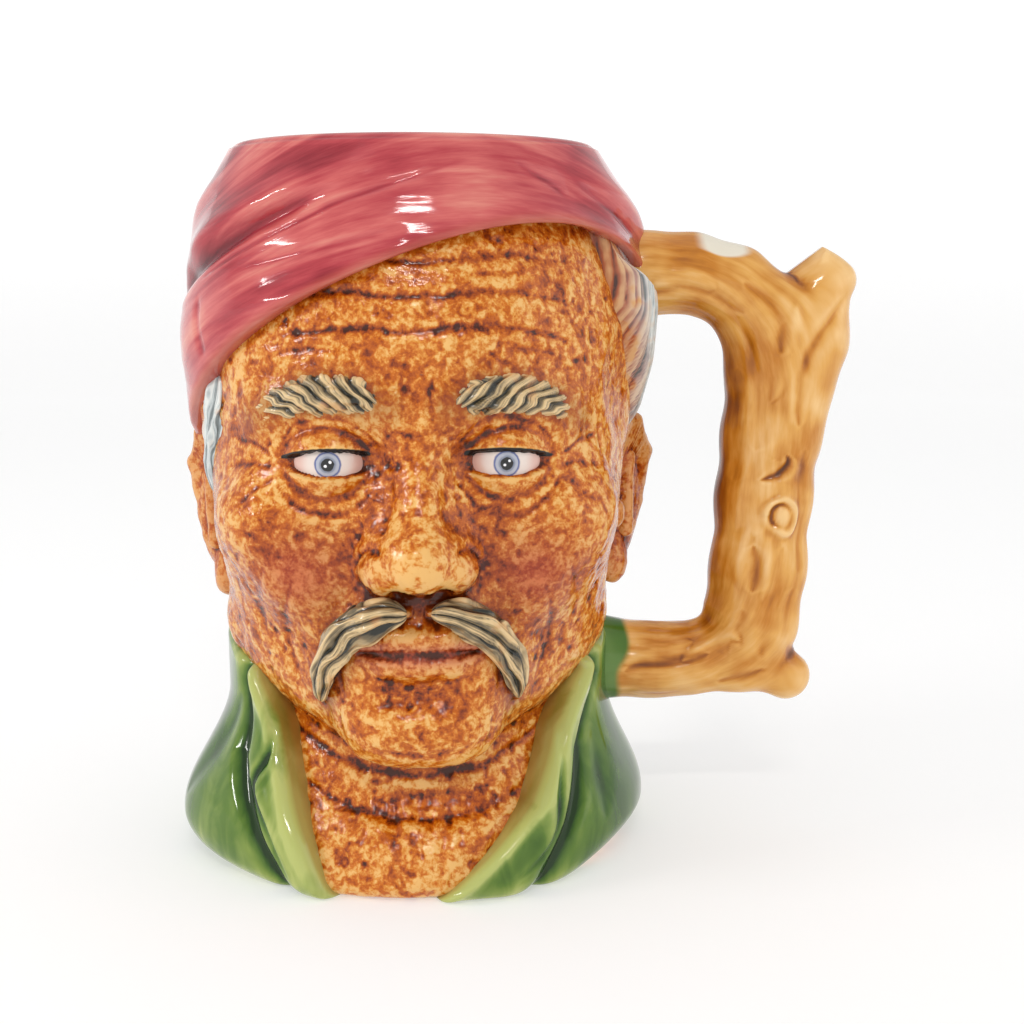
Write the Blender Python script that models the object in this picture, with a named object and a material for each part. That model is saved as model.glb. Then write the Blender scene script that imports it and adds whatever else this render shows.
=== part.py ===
"""Face mug: a slip-cast head in a draped cap and an open collar, with a branch for its handle.

The face looks along -Y and the handle stands on the +X side. The origin is on the table, at the middle
of the mug's outer box. One closed solid: the hollow vessel, its ears and its handle were cast as one.
The outer surface is the zero of a field of joined masses, met by rays from the mug's own axis.
"""

import math

import bmesh
import bpy
import numpy as np
from mathutils import Matrix

# Vessel, in metres
MUG_HEIGHT = 0.165
MOUTH_RADIUS = 0.0418
WALL = 0.0045
FLOOR = 0.0060
RIM_ROUND = 0.0014
FOOT_RADIUS = 0.0503
FOOT_ROUND = 0.0045
FOOT_RING = 0.0085
FOOT_RECESS = 0.0015

# Head: its height runs from the chin's underside to the crown, and carving is in hundredths of it
CHIN_HEIGHT = 0.033
CAP_OVER_CROWN = 0.004
HEAD_HEIGHT = MUG_HEIGHT - CAP_OVER_CROWN - CHIN_HEIGHT
HUNDREDTH = HEAD_HEIGHT / 100
EAR_PLACE = (-1.6, 3.0, -4.0)
EAR_SWEEP = math.radians(30)
EAR_WIDENED = 1.12
RIGHT_EAR_INWARD = 0.0018
RIGHT_EAR_LOWER = 0.0020

# Cap, hair and collar
CAP_RADIUS = 0.0555
CAP_SHOULDER = 0.0400
CAP_EDGE_MIDDLE = 0.1160
CAP_EDGE_SIDE_TILT = 0.0175
CAP_EDGE_BACK_TILT = 0.0250
CAP_LIP = 0.0022
HAIR_RADIUS = 0.0562
COLLAR_RADIUS = 0.0572
COLLAR_NECK_RADIUS = 0.0455
COLLAR_BULGE_HEIGHT = 0.0095
COLLAR_BACK_HEIGHT = 0.0630
COLLAR_FOOT_DRAWN_IN = 0.0062
COLLAR_DRAWN_IN = 0.0038
LAPEL_SLOPE = 1.7

# Handle: a branch bent into a loop
GRIP_X = 0.0846
UPPER_ARM_Z = 0.1360
LOWER_ARM_Z = 0.0418
GRIP_RADIUS = 0.0110
ARM_RADIUS = 0.0086
HANDLE_FLATNESS = 1.18
STUB_REACH = 0.0122
KNOB_RADIUS = 0.0064
KNOT_RADIUS = 0.0038
KNOT_PLACE = (0.0025, 0.39)
# Furrows: points (x from the grip's axis, share of the way up), half-width, face (-1 front, 1 back)
BARK_GROOVES = (
    (((0.0150, 0.88), (0.0095, 0.79), (0.0070, 0.70), (0.0072, 0.62)), 0.0012, -1),
    (((-0.0010, 0.99), (0.0010, 0.90), (0.0045, 0.84)), 0.0010, -1),
    (((-0.0035, 0.60), (-0.0035, 0.45)), 0.0010, -1),
    (((-0.0015, 0.27), (-0.0015, 0.20), (-0.0012, 0.16)), 0.0014, -1),
    (((0.0010, 0.13), (0.0008, 0.04)), 0.0009, -1),
    (((0.0040, 0.75), (0.0000, 0.55), (0.0020, 0.38)), 0.0012, 1),
    (((-0.0040, 0.50), (-0.0015, 0.30), (-0.0030, 0.12)), 0.0011, 1),
)

# Fineness of the carved mesh
COLUMNS = 220
ROWS_BELOW_CAP = 132
ROWS_OF_CAP = 24
HANDLE_RINGS = 90
BEND_CROWDING = 0.03
HANDLE_SIDES = 30
EAR_FINENESS = 34
CAVITY_COLUMNS = 60
CAVITY_ROWS = 20
VESSEL_KEPT = 0.088
FINISHED_KEPT = 0.94
HANDLE_KEPT = 0.24
EAR_KEPT = 0.14
CAVITY_KEPT = 0.45
OUTSIDE = 0.100


# Field pieces: each returns a length that is negative inside a mass
def ellipsoid(p, centre, radii):
    """Distance to an ellipsoid, near enough close to its surface."""
    q = (p - np.array(centre)) / np.array(radii)
    near = np.linalg.norm(q, axis=-1)
    far = np.linalg.norm(q / np.array(radii), axis=-1) + 1e-9
    return near * (near - 1) / far


def limb(p, a, b, radius_a, radius_b):
    """Distance to a rod from a to b whose radius runs from radius_a to radius_b."""
    a, b = np.array(a, float), np.array(b, float)
    along = np.clip(((p - a) @ (b - a)) / ((b - a) @ (b - a)), 0, 1)
    off = p - a - along[..., None] * (b - a)
    return np.linalg.norm(off, axis=-1) - radius_a - along * (radius_b - radius_a)


def join(a, b, soft):
    """Union of two masses, with a fillet of about soft."""
    h = np.clip(0.5 + 0.5 * (b - a) / soft, 0, 1)
    return b + (a - b) * h - soft * h * (1 - h)


def carve(a, b, soft):
    """Mass a with mass b cut away, the edge softened."""
    return -join(-a, b, soft)


def strand(p, points, radii, soft):
    """A rod through several points, its stretches joined."""
    whole = limb(p, points[0], points[1], radii[0], radii[1])
    for k in range(1, len(points) - 1):
        whole = join(whole, limb(p, points[k], points[k + 1], radii[k], radii[k + 1]), soft)
    return whole


def ease(x):
    """0 to 1 along an S curve."""
    x = np.clip(x, 0, 1)
    return x * x * (3 - 2 * x)


def past(x):
    """How far x is past 0, starting gently."""
    return 0.5 * (x + np.hypot(x, 0.0008)) - 0.0004


# Head, in hundredths of its height: (sideways from the nose, forward, up from the chin)
def head_masses(q):
    """Skull, jaw and neck, before any feature."""
    whole = ellipsoid(q, (0, 0, 62), (40, 42, 50))
    whole = join(whole, ellipsoid(q, (0, 10, 37), (35.5, 30, 42)), 6)
    whole = join(whole, limb(q, (7, 34, 6), (27, 8, 17), 6, 7), 7)
    whole = join(whole, ellipsoid(q, (22, 26, 39), (11, 11, 9)), 9)
    whole = join(whole, ellipsoid(q, (0, 32, 19), (16, 12, 13)), 8)
    whole = join(whole, ellipsoid(q, (0, 36, 6), (10, 8, 7.5)), 7)
    whole = join(whole, limb(q, (3, 36.5, 58), (22, 29, 57.5), 5, 4.5), 5)
    return carve(whole, ellipsoid(q, (41, 24, 60), (6, 9, 9)), 6)


def eyes(q, whole):
    """Sockets cut in, with eyeballs and two lids each set back into them."""
    whole = carve(whole, ellipsoid(q, (14, 46, 50.5), (11, 9.5, 6)), 4)
    middle = np.array((14, 32.6, 50))
    ball = np.linalg.norm(q - middle, axis=-1)
    whole = join(whole, ball - 6.9, 0.4)
    forward, up = q[..., 1] - middle[1], q[..., 2] - middle[2]
    for tilt, side in ((math.radians(17), 1), (math.radians(16), -1)):
        above = side * up * math.cos(tilt) - forward * math.sin(tilt)
        lid = carve(ball - 8.3, above, 0.4)
        whole = join(whole, lid, 1.0)
    return whole


def nose(q, whole):
    """Bridge, sides, tip, wings and nostrils."""
    whole = join(whole, limb(q, (0, 37.6, 56), (0, 44.6, 38), 3.2, 4.1), 3.5)
    whole = join(whole, limb(q, (2.5, 35.5, 50), (4.5, 40, 36), 2.5, 4.2), 3)
    whole = join(whole, ellipsoid(q, (0, 46.8, 34.3), (5.1, 5.4, 4.9)), 2.2)
    whole = join(whole, ellipsoid(q, (6.0, 42.8, 33), (3.4, 4.6, 3.8)), 1.1)
    return carve(whole, ellipsoid(q, (3.1, 45.0, 29.2), (1.7, 2.4, 1.5)), 1.0)


def mouth(q, whole):
    """Two full lips that meet in a level line, with the dip under them."""
    upper = strand(q, ((0, 43.4, 21.5), (4.5, 42.9, 21.8), (10.5, 39, 19.7)), (2.0, 1.9, 0.7), 1)
    lower = strand(q, ((0, 42.8, 17.3), (5, 42, 17.5), (10.2, 38.8, 19.2)), (2.4, 2.2, 0.8), 1)
    whole = join(join(whole, upper, 1.6), lower, 1.6)
    line = strand(q, ((0, 45.8, 19.4), (5, 44.8, 19.3), (11.2, 39.8, 19.2)), (0.7, 0.7, 0.5), 0.5)
    whole = carve(whole, line, 1.2)
    return carve(whole, ellipsoid(q, (0, 46, 11.8), (9, 3.6, 2.2)), 3)


def cheeks(q, whole):
    """Cheek pads and the fold that runs from the nose past the mouth."""
    whole = join(whole, ellipsoid(q, (17.5, 28.5, 31), (9, 9.5, 9)), 4)
    fold = strand(q, ((8.5, 43, 34.5), (13, 41, 27), (17.5, 36.5, 18)), (0.7, 1.0, 0.6), 1)
    return carve(whole, fold, 3)


def moustache(q, whole):
    """Two lobes that leave the nose and droop past the corners of the mouth."""
    lobe = strand(
        q,
        ((1.8, 44.6, 26.4), (6.5, 44.2, 26), (12, 41, 22), (15.4, 37.6, 15.5), (16.6, 34.8, 9.5)),
        (2.4, 3.1, 2.9, 2.3, 1.1),
        4,
    )
    return join(whole, lobe, 1.0)


def eyebrows(q, whole):
    """Bushy arcs on the brow ridge."""
    arc = strand(
        q,
        ((5, 40.4, 57.8), (10.5, 40.4, 60.6), (17, 37.4, 61.4), (22.5, 33.4, 59.4), (27, 28.6, 55.6)),
        (1.9, 2.7, 2.8, 2.3, 1.1),
        3,
    )
    return join(whole, arc, 1.4)


def head(q):
    """The whole head without ears; sideways is folded over, so both halves come out."""
    q = q.copy()
    q[..., 0] = np.sqrt(q[..., 0] ** 2 + 0.04)
    whole = cheeks(q, head_masses(q))
    whole = mouth(q, nose(q, eyes(q, whole)))
    return eyebrows(q, moustache(q, whole))


def ear(q):
    """An outer ear, facing forward: the shell, its rolled rim, inner ridge, lobe and hollow."""
    shell = ellipsoid(q, (38, -4, 43), (6.4, 3.2, 14))
    rim = strand(
        q,
        ((35.5, 0.5, 50), (37.6, -0.6, 56), (41.8, -2.6, 56.4), (44.8, -4, 50.5), (43.2, -4, 41), (39.2, -2.8, 32.5)),
        (1.4, 1.6, 1.8, 1.7, 1.5, 1.3),
        1.2,
    )
    whole = join(shell, rim, 1.0)
    whole = join(whole, ellipsoid(q, (37.4, -2.0, 30), (2.9, 2.6, 4.0)), 2.0)
    whole = carve(whole, ellipsoid(q, (39.4, 0.4, 45), (3.2, 2.6, 8.5)), 1.2)
    whole = join(whole, limb(q, (41, -2.2, 50), (39.6, -1.0, 36), 1.1, 1.2), 0.8)
    return join(whole, ellipsoid(q, (35.8, 1.2, 40), (1.9, 1.6, 3.0)), 0.8)


# Draped layers, as a radius for each direction and height
def by_height(z, stations):
    """A smooth run through (height, radius) stations."""
    heights, radii = np.array(stations).T
    near = sum(np.interp(z + shift, heights, radii) for shift in np.linspace(-0.002, 0.002, 5))
    return near / 5


def cap_edge(turn):
    """Height of the cap's lower edge: a tilted ring, low at the back and on the -X side."""
    return CAP_EDGE_MIDDLE + CAP_EDGE_SIDE_TILT * np.sin(turn) + CAP_EDGE_BACK_TILT * np.cos(turn)


def ridge(turn, z, start, end, width, sharp):
    """1 along a crease from start to end, each (direction in degrees, height), falling off sideways."""
    radius = CAP_RADIUS
    a = np.array((math.radians(start[0]) * radius, start[1]))
    b = np.array((math.radians(end[0]) * radius, end[1]))
    at = np.stack(np.broadcast_arrays(turn * radius, z), axis=-1)
    length = np.linalg.norm(b - a)
    along = ((at - a) @ (b - a)) / length**2
    side = ((at - a) @ np.array((a[1] - b[1], b[0] - a[0]))) / length
    skew = np.where(side > 0, 1.0, sharp)
    ends = ease((along + 0.15) / 0.3) * ease((1.15 - along) / 0.3)
    return np.exp(-((side / (width * skew)) ** 2)) * ends


def cap_radius(turn, z):
    """The cap leaves the rim, swells over its shoulder and is drawn into long slanting folds."""
    below = MUG_HEIGHT - z
    swell = 1 - (1 - np.clip(below / CAP_SHOULDER, 0, 1)) ** 2
    radius = MOUTH_RADIUS + (CAP_RADIUS - MOUTH_RADIUS) * swell
    radius = radius - 0.030 * np.clip(below - CAP_SHOULDER, 0, None)
    front = np.clip(np.cos(turn), 0, 1) ** 2 * swell
    far_side = np.clip(-np.sin(turn), 0, 1) ** 2 * swell
    radius = radius - 0.0022 * front - 0.0016 * far_side
    depth = ease(below / 0.018)
    top = MUG_HEIGHT
    folds = 0.0026 * ridge(turn, z, (-70, top - 0.026), (-8, top - 0.004), 0.0060, 0.5)
    folds += -0.0034 * ridge(turn, z, (-84, top - 0.034), (-26, top - 0.013), 0.0032, 0.7)
    folds += 0.0018 * ridge(turn, z, (-80, top - 0.046), (40, top - 0.026), 0.0080, 1.0)
    folds += -0.0016 * ridge(turn, z, (22, top - 0.006), (84, top - 0.024), 0.0055, 0.8)
    folds += 0.0022 * ridge(turn, z, (55, top - 0.006), (100, top - 0.022), 0.0060, 0.8)
    folds += -0.0022 * ridge(turn, z, (-112, top - 0.052), (-82, top - 0.040), 0.0030, 1.0)
    folds += 0.0016 * ridge(turn, z, (-130, top - 0.030), (-75, top - 0.010), 0.0055, 1.0)
    folds += -0.0024 * ridge(turn, z, (120, top - 0.020), (176, top - 0.050), 0.0040, 0.7)
    folds += 0.0020 * ridge(turn, z, (110, top - 0.034), (178, top - 0.066), 0.0070, 0.7)
    folds += -0.0022 * ridge(turn, z, (-178, top - 0.030), (-128, top - 0.052), 0.0040, 0.8)
    return radius + folds * depth


def hair_radius(turn, z):
    """Hair stands out under the cap, tucks in behind the ears and hangs thick down the back."""
    height = MUG_HEIGHT
    beside = (
        (0.30 * height, HAIR_RADIUS - 0.0150),
        (0.52 * height, HAIR_RADIUS - 0.0125),
        (0.585 * height, HAIR_RADIUS - 0.0095),
        (0.63 * height, HAIR_RADIUS - 0.0042),
        (0.70 * height, HAIR_RADIUS - 0.0012),
        (0.78 * height, HAIR_RADIUS),
        (0.90 * height, HAIR_RADIUS - 0.0020),
    )
    behind = (
        (0.30 * height, HAIR_RADIUS - 0.0105),
        (0.40 * height, HAIR_RADIUS - 0.0060),
        (0.52 * height, HAIR_RADIUS - 0.0025),
        (0.65 * height, HAIR_RADIUS - 0.0015),
        (0.90 * height, HAIR_RADIUS - 0.0020),
    )
    back = ease((np.abs(turn) - math.radians(100)) / math.radians(32))
    radius = by_height(z, beside) + (by_height(z, behind) - by_height(z, beside)) * back
    temple = np.radians(np.interp(z, (0.55 * height, 0.65 * height, 0.78 * height), (84, 72, 62)))
    grown = ease((np.abs(turn) - temple) / math.radians(10) + 0.5)
    locks = 0.0009 * np.sin(26 * turn + 90 * (z - 0.1) + 2 * np.sin(4 * turn))
    return radius - 0.012 * (1 - grown) + locks * grown


def lapel_turn(z, side):
    """Direction of the lapel's inner edge at a height: side -1 or +1. The +X lapel sweeps to the middle."""
    share = z / CHIN_HEIGHT
    if side < 0:
        return -np.radians(np.interp(share, (0, 0.36, 1.1, 1.5), (23, 30, 47, 58)))
    return np.radians(np.interp(share, (0, 0.27, 0.6, 1.0, 1.4), (4, 16, 31, 43, 58)))


def collar_radius(turn, z):
    """The collar flares from the neck to a bulge just above the table, its lapels rolled back."""
    rise = np.clip((z - COLLAR_BULGE_HEIGHT) / (3.1 * COLLAR_BULGE_HEIGHT), 0, 1)
    radius = COLLAR_RADIUS - (COLLAR_RADIUS - COLLAR_NECK_RADIUS) * ease(rise)
    tuck = np.clip(1 - z / COLLAR_BULGE_HEIGHT, 0, 1)
    handle_side = ease(1 - np.abs(turn - math.radians(66)) / math.radians(64))
    radius = radius - COLLAR_DRAWN_IN * handle_side * (1 - ease(rise))
    radius = radius - (COLLAR_RADIUS - FOOT_RADIUS + COLLAR_FOOT_DRAWN_IN * handle_side) * tuck**2
    in_front = ease((math.radians(78) - np.abs(turn)) / math.radians(44))
    flat_front = FOOT_RADIUS + 0.0012 - 0.0070 * ease(rise)
    radius = radius + (flat_front - radius) * in_front
    z_share = z / CHIN_HEIGHT
    left_fold = -np.radians(np.interp(z_share, (0, 0.45, 0.85, 1.3), (36, 47, 58, 62)))
    right_fold = np.radians(np.interp(z_share, (0, 0.45, 0.9, 1.3), (30, 42, 52, 66)))
    crease = np.exp(-(((turn - left_fold) / 0.055) ** 2)) + np.exp(-(((turn - right_fold) / 0.055) ** 2))
    roll = np.exp(-(((turn - left_fold - 0.13) / 0.10) ** 2)) + np.exp(-(((turn - right_fold + 0.13) / 0.10) ** 2))
    drape = 0.0010 * np.sin(5 * turn + 60 * z) * ease((np.abs(turn) - 1.3) / 0.5)
    return radius - 0.0022 * crease + 0.0012 * roll + drape


def collar(turn, z, reach):
    """The collar as a mass, ended at its lapels and its top edge."""
    whole = reach - collar_radius(turn, z)
    left = (turn - lapel_turn(z, -1)) * FOOT_RADIUS
    right = (lapel_turn(z, 1) - turn) * FOOT_RADIUS
    opening = np.minimum(left, right)
    whole = whole + LAPEL_SLOPE * past(opening)
    back = 0.5 - 0.5 * np.cos(turn)
    top = CHIN_HEIGHT + 0.010 + (COLLAR_BACK_HEIGHT - CHIN_HEIGHT - 0.010) * back
    return whole + LAPEL_SLOPE * past(z - top)


def throat_radius(z):
    """The bare neck, from under the chin down to the foot."""
    share = CHIN_HEIGHT
    return by_height(
        z,
        (
            (-0.2 * share, FOOT_RADIUS - 0.0016),
            (0.15 * share, FOOT_RADIUS - 0.0016),
            (0.36 * share, FOOT_RADIUS - 0.0036),
            (0.6 * share, FOOT_RADIUS - 0.0068),
            (0.85 * share, FOOT_RADIUS - 0.0105),
            (1.2 * share, FOOT_RADIUS - 0.0130),
            (2.0 * share, FOOT_RADIUS - 0.0140),
        ),
    )


def vessel(p):
    """Field of the vessel without ears or handle. p is in metres from the foot of the mug's axis."""
    turn = np.arctan2(p[..., 0], -p[..., 1])
    reach = np.hypot(p[..., 0], p[..., 1])
    z = p[..., 2]
    q = np.stack((p[..., 0], -p[..., 1], z - CHIN_HEIGHT), axis=-1) / HUNDREDTH
    skin = join(head(q) * HUNDREDTH, reach - throat_radius(z), 0.003)
    hair = carve(reach - hair_radius(turn, z), cap_edge(turn) + 0.004 - z, 0.001)
    cap = carve(reach - cap_radius(turn, z), z - cap_edge(turn), 2 * CAP_LIP)
    whole = join(skin, hair, 0.0010)
    whole = join(whole, collar(turn, z, reach), 0.0008)
    return join(whole, cap, 0.0008)


def outer_reach(turn, z):
    """How far from the axis the vessel's surface lies, found by walking in from outside."""
    reach = np.full(np.broadcast(turn, z).shape, OUTSIDE)
    across = np.broadcast_to(np.sin(turn), reach.shape)
    towards = np.broadcast_to(-np.cos(turn), reach.shape)
    height = np.broadcast_to(z, reach.shape)
    for _ in range(70):
        p = np.stack((across * reach, towards * reach, height), axis=-1)
        reach = np.maximum(reach - 0.62 * vessel(p), 0.02)
    return reach


def branch_place(x, share):
    """A point in the handle's plane: x from the grip's axis, share of the way from lower to upper arm."""
    return (GRIP_X + x, 0, LOWER_ARM_Z + share * (UPPER_ARM_Z - LOWER_ARM_Z))


def branch_path():
    """Points down the middle of the branch, each with its half-thickness."""
    arm, grip = ARM_RADIUS, GRIP_RADIUS
    root = COLLAR_NECK_RADIUS - 0.004 - GRIP_X
    return (
        (branch_place(root, 1.0), 1.25 * arm),
        (branch_place(root + 0.014, 1.0), 1.04 * arm),
        (branch_place(root + 0.024, 1.0), 1.0 * arm),
        (branch_place(-0.0090, 0.965), 1.04 * arm),
        (branch_place(0.0, 0.87), 1.0 * grip),
        (branch_place(0.0020, 0.74), 1.05 * grip),
        (branch_place(0.0005, 0.585), 1.02 * grip),
        (branch_place(-0.0005, 0.43), 1.0 * grip),
        (branch_place(-0.0015, 0.24), 1.0 * grip),
        (branch_place(-0.0030, 0.095), 1.0 * grip),
        (branch_place(-0.0065, 0.01), 1.02 * arm),
        (branch_place(-0.0185, 0.0), 0.96 * arm),
        (branch_place(root + 0.016, 0.0), 1.0 * arm),
        (branch_place(root, 0.01), 1.3 * arm),
    )


def branch(p):
    """Field of the handle: two arms, an upright grip, a cut stub at the top and a knob at the heel."""
    q = p * np.array((1, HANDLE_FLATNESS, 1))
    places, radii = zip(*branch_path())
    wood = strand(q, places, radii, 0.004)
    stub = (
        branch_place(0.0035, 0.60),
        branch_place(STUB_REACH - 0.003, 0.83),
        branch_place(STUB_REACH, 0.965),
    )
    thick = GRIP_RADIUS
    wood = join(wood, strand(q, stub, (0.82 * thick, 0.86 * thick, 0.66 * thick), 0.003), 0.004)
    top = branch_place(STUB_REACH - 0.0014, 1.024), branch_place(STUB_REACH + 0.0046, 0.985)
    wood = join(wood, limb(q, *top, 0.36 * thick, 0.32 * thick), 0.003)
    heel = branch_place(-0.001, -0.015), branch_place(0.0062, -0.050)
    wood = join(wood, limb(q, *heel, KNOB_RADIUS, KNOB_RADIUS), 0.004)
    for places, width, depth_side in BARK_GROOVES:
        wood = carve(wood, groove(q, places, width, depth_side), 0.0015)
    off = q - np.array(branch_place(*KNOT_PLACE)) + np.array((0, 1.06 * GRIP_RADIUS, 0))
    ring = np.hypot(np.hypot(off[..., 0], off[..., 2]) - KNOT_RADIUS, off[..., 1]) - 0.0016
    return join(wood, ring, 0.0016)


def grid_mesh(name, points):
    """A closed mesh from rings of points: points[row, column], each row a ring, both ends filled."""
    rows, columns = points.shape[:2]
    mesh = bpy.data.meshes.new(name)
    faces = []
    for row in range(rows - 1):
        for column in range(columns):
            beside = (column + 1) % columns
            here, above = row * columns, (row + 1) * columns
            faces.append((here + column, here + beside, above + beside, above + column))
    faces.append(tuple(reversed(range(columns))))
    faces.append(tuple(range((rows - 1) * columns, rows * columns)))
    mesh.from_pydata([tuple(p) for p in points.reshape(-1, 3)], [], faces)
    work = bmesh.new()
    work.from_mesh(mesh)
    bmesh.ops.triangulate(work, faces=work.faces[:])
    bmesh.ops.recalc_face_normals(work, faces=work.faces[:])
    work.to_mesh(mesh)
    work.free()
    obj = bpy.data.objects.new(name, mesh)
    bpy.context.scene.collection.objects.link(obj)
    return obj


def turns(columns, crowding):
    """Directions round the axis, closer together in front. 0 is the nose and +90 degrees the handle."""
    even = (np.arange(columns) + 0.5) / columns * 2 * math.pi - math.pi
    return even - crowding * np.sin(even)


def vessel_heights(turn):
    """Rows of heights for each direction: one row runs along the cap's edge, and the face gets most."""
    edge = cap_edge(turn)
    low = np.linspace(0, 1, ROWS_BELOW_CAP)
    low = low**1.06
    high = np.linspace(0, 1, ROWS_OF_CAP + 1)[1:]
    rows = [edge * share for share in low]
    rows += [edge + (MUG_HEIGHT - edge) * share for share in high]
    return np.array(rows)


def rounded_foot(reach, z):
    """Takes the outer edge in at the foot, by a quarter round."""
    inside = np.clip(1 - z / FOOT_ROUND, 0, 1)
    return reach - FOOT_ROUND * (1 - np.sqrt(1 - inside**2))


def vessel_object():
    """The outer form as a full solid."""
    turn = turns(COLUMNS, 0.46)
    z = vessel_heights(turn)
    edge_rows = FOOT_ROUND * np.array((0.15, 0.5, 1))
    kept = z[z.max(axis=1) > 2 * FOOT_ROUND]
    z = np.concatenate(
        (
            np.full((1, COLUMNS), -RIM_ROUND),
            np.repeat(edge_rows[:, None], COLUMNS, axis=1),
            kept,
            np.full((1, COLUMNS), MUG_HEIGHT + RIM_ROUND),
        )
    )
    z = np.sort(z, axis=0)
    reach = rounded_foot(outer_reach(turn, z), z)
    points = np.stack((np.sin(turn) * reach, -np.cos(turn) * reach, z), axis=-1)
    return grid_mesh("face_mug", points)


def cavity_object():
    """The hollow: the outer form taken in by the wall, with the carving left out, open at the rim."""
    turn = turns(CAVITY_COLUMNS, 0.0)
    share = np.linspace(0, 1, CAVITY_ROWS)
    base = FOOT_RECESS + FLOOR
    z = base + (MUG_HEIGHT - base) * share
    reach = outer_reach(turn[None, :], z[:, None])
    least = reach.copy()
    for across in (-1, 1):
        least = np.minimum(least, np.roll(reach, across, axis=1))
    spread = least.copy()
    spread[1:] = np.minimum(spread[1:], least[:-1])
    spread[:-1] = np.minimum(spread[:-1], least[1:])
    smooth = (np.roll(spread, 1, axis=1) + 2 * spread + np.roll(spread, -1, axis=1)) / 4
    inner = np.minimum(smooth, spread) - WALL
    inner[-1] = MOUTH_RADIUS - WALL
    corner = 0.010
    rounding = np.clip(1 - (z - base) / corner, 0, 1)[:, None]
    inner = inner - corner * (1 - np.sqrt(1 - rounding**2))
    above = np.array((-RIM_ROUND, -0.4 * RIM_ROUND, 0, RIM_ROUND))
    flare = np.array((0, 0.2, 1.0, 1.0))[:, None] * RIM_ROUND
    lip = np.repeat(inner[-1:], 4, axis=0) + flare
    inner = np.concatenate((inner[:1] * 0.6, inner[:-1], lip))
    z = np.concatenate(([base], [base + 0.0004], z[1:-1], MUG_HEIGHT + above))
    height = np.repeat(z[:, None], CAVITY_COLUMNS, axis=1)
    points = np.stack((np.sin(turn) * inner, -np.cos(turn) * inner, height), axis=-1)
    return grid_mesh("cavity", points)


def foot_recess_object():
    """The hollow under the foot, leaving a ring to stand on."""
    side = FOOT_RADIUS - FOOT_RING
    turn = turns(48, 0.0)
    rings = ((side, -FOOT_RECESS), (side, 0), (side - FOOT_RECESS, FOOT_RECESS))
    points = [np.stack((np.sin(turn) * r, -np.cos(turn) * r, np.full(48, z)), axis=-1) for r, z in rings]
    return grid_mesh("foot_recess", np.array(points))


def ear_object(name, side, inward, lower):
    """One ear as a closed blob, met by rays towards a point inside it."""
    middle = np.array((38.0, -4.6, 43.0))
    up = np.linspace(0, math.pi, EAR_FINENESS + 2)[1:-1]
    around = np.arange(EAR_FINENESS) / EAR_FINENESS * 2 * math.pi
    up, around = np.meshgrid(up, around, indexing="ij")
    way = np.stack((np.sin(up) * np.cos(around), np.sin(up) * np.sin(around), -np.cos(up)), axis=-1)
    far = np.full(up.shape, 22.0)
    for _ in range(60):
        far = np.maximum(far - 0.7 * ear(middle + way * far[..., None]), 0.4)
    q = middle + way * far[..., None]
    hinge_x, hinge_y = 36.0, -4.0
    out, forward = (q[..., 0] - hinge_x) * EAR_WIDENED, q[..., 1] - hinge_y
    x = EAR_PLACE[0] + hinge_x + out * math.cos(EAR_SWEEP) + forward * math.sin(EAR_SWEEP)
    y = EAR_PLACE[1] + hinge_y - out * math.sin(EAR_SWEEP) + forward * math.cos(EAR_SWEEP)
    z = (EAR_PLACE[2] + q[..., 2]) * HUNDREDTH + CHIN_HEIGHT - lower
    points = np.stack((side * (x * HUNDREDTH - inward), -y * HUNDREDTH, z), axis=-1)
    return grid_mesh(name, points)


def smooth_path(points, count):
    """Points and tangents on a curve drawn through points (Catmull-Rom), closer together on bends."""
    points = np.array(points, float)
    padded = np.concatenate((2 * points[:1] - points[1:2], points, 2 * points[-1:] - points[-2:-1]))
    fine = []
    for k in range(1, len(padded) - 2):
        a, b, c, d = padded[k - 1 : k + 3]
        t = np.linspace(0, 1, 24, endpoint=False)[:, None]
        cubic = (3 * b - a - 3 * c + d) * t**3
        fine.append(0.5 * (2 * b + (c - a) * t + (2 * a - 5 * b + 4 * c - d) * t**2 + cubic))
    fine = np.concatenate(fine + [points[-1:]])
    step = np.diff(fine, axis=0)
    length = np.linalg.norm(step, axis=1)
    way = step / length[:, None]
    bend = np.linalg.norm(np.diff(way, axis=0, prepend=way[:1]), axis=1)
    bend = np.convolve(bend, np.ones(25) / 25, mode="same")
    measure = np.concatenate(([0], np.cumsum(length + BEND_CROWDING * bend)))
    at = np.linspace(0, measure[-1], count)
    line = np.stack([np.interp(at, measure, fine[:, k]) for k in range(3)], axis=-1)
    tangent = np.gradient(line, axis=0)
    return line, tangent / np.linalg.norm(tangent, axis=1)[:, None]


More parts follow.
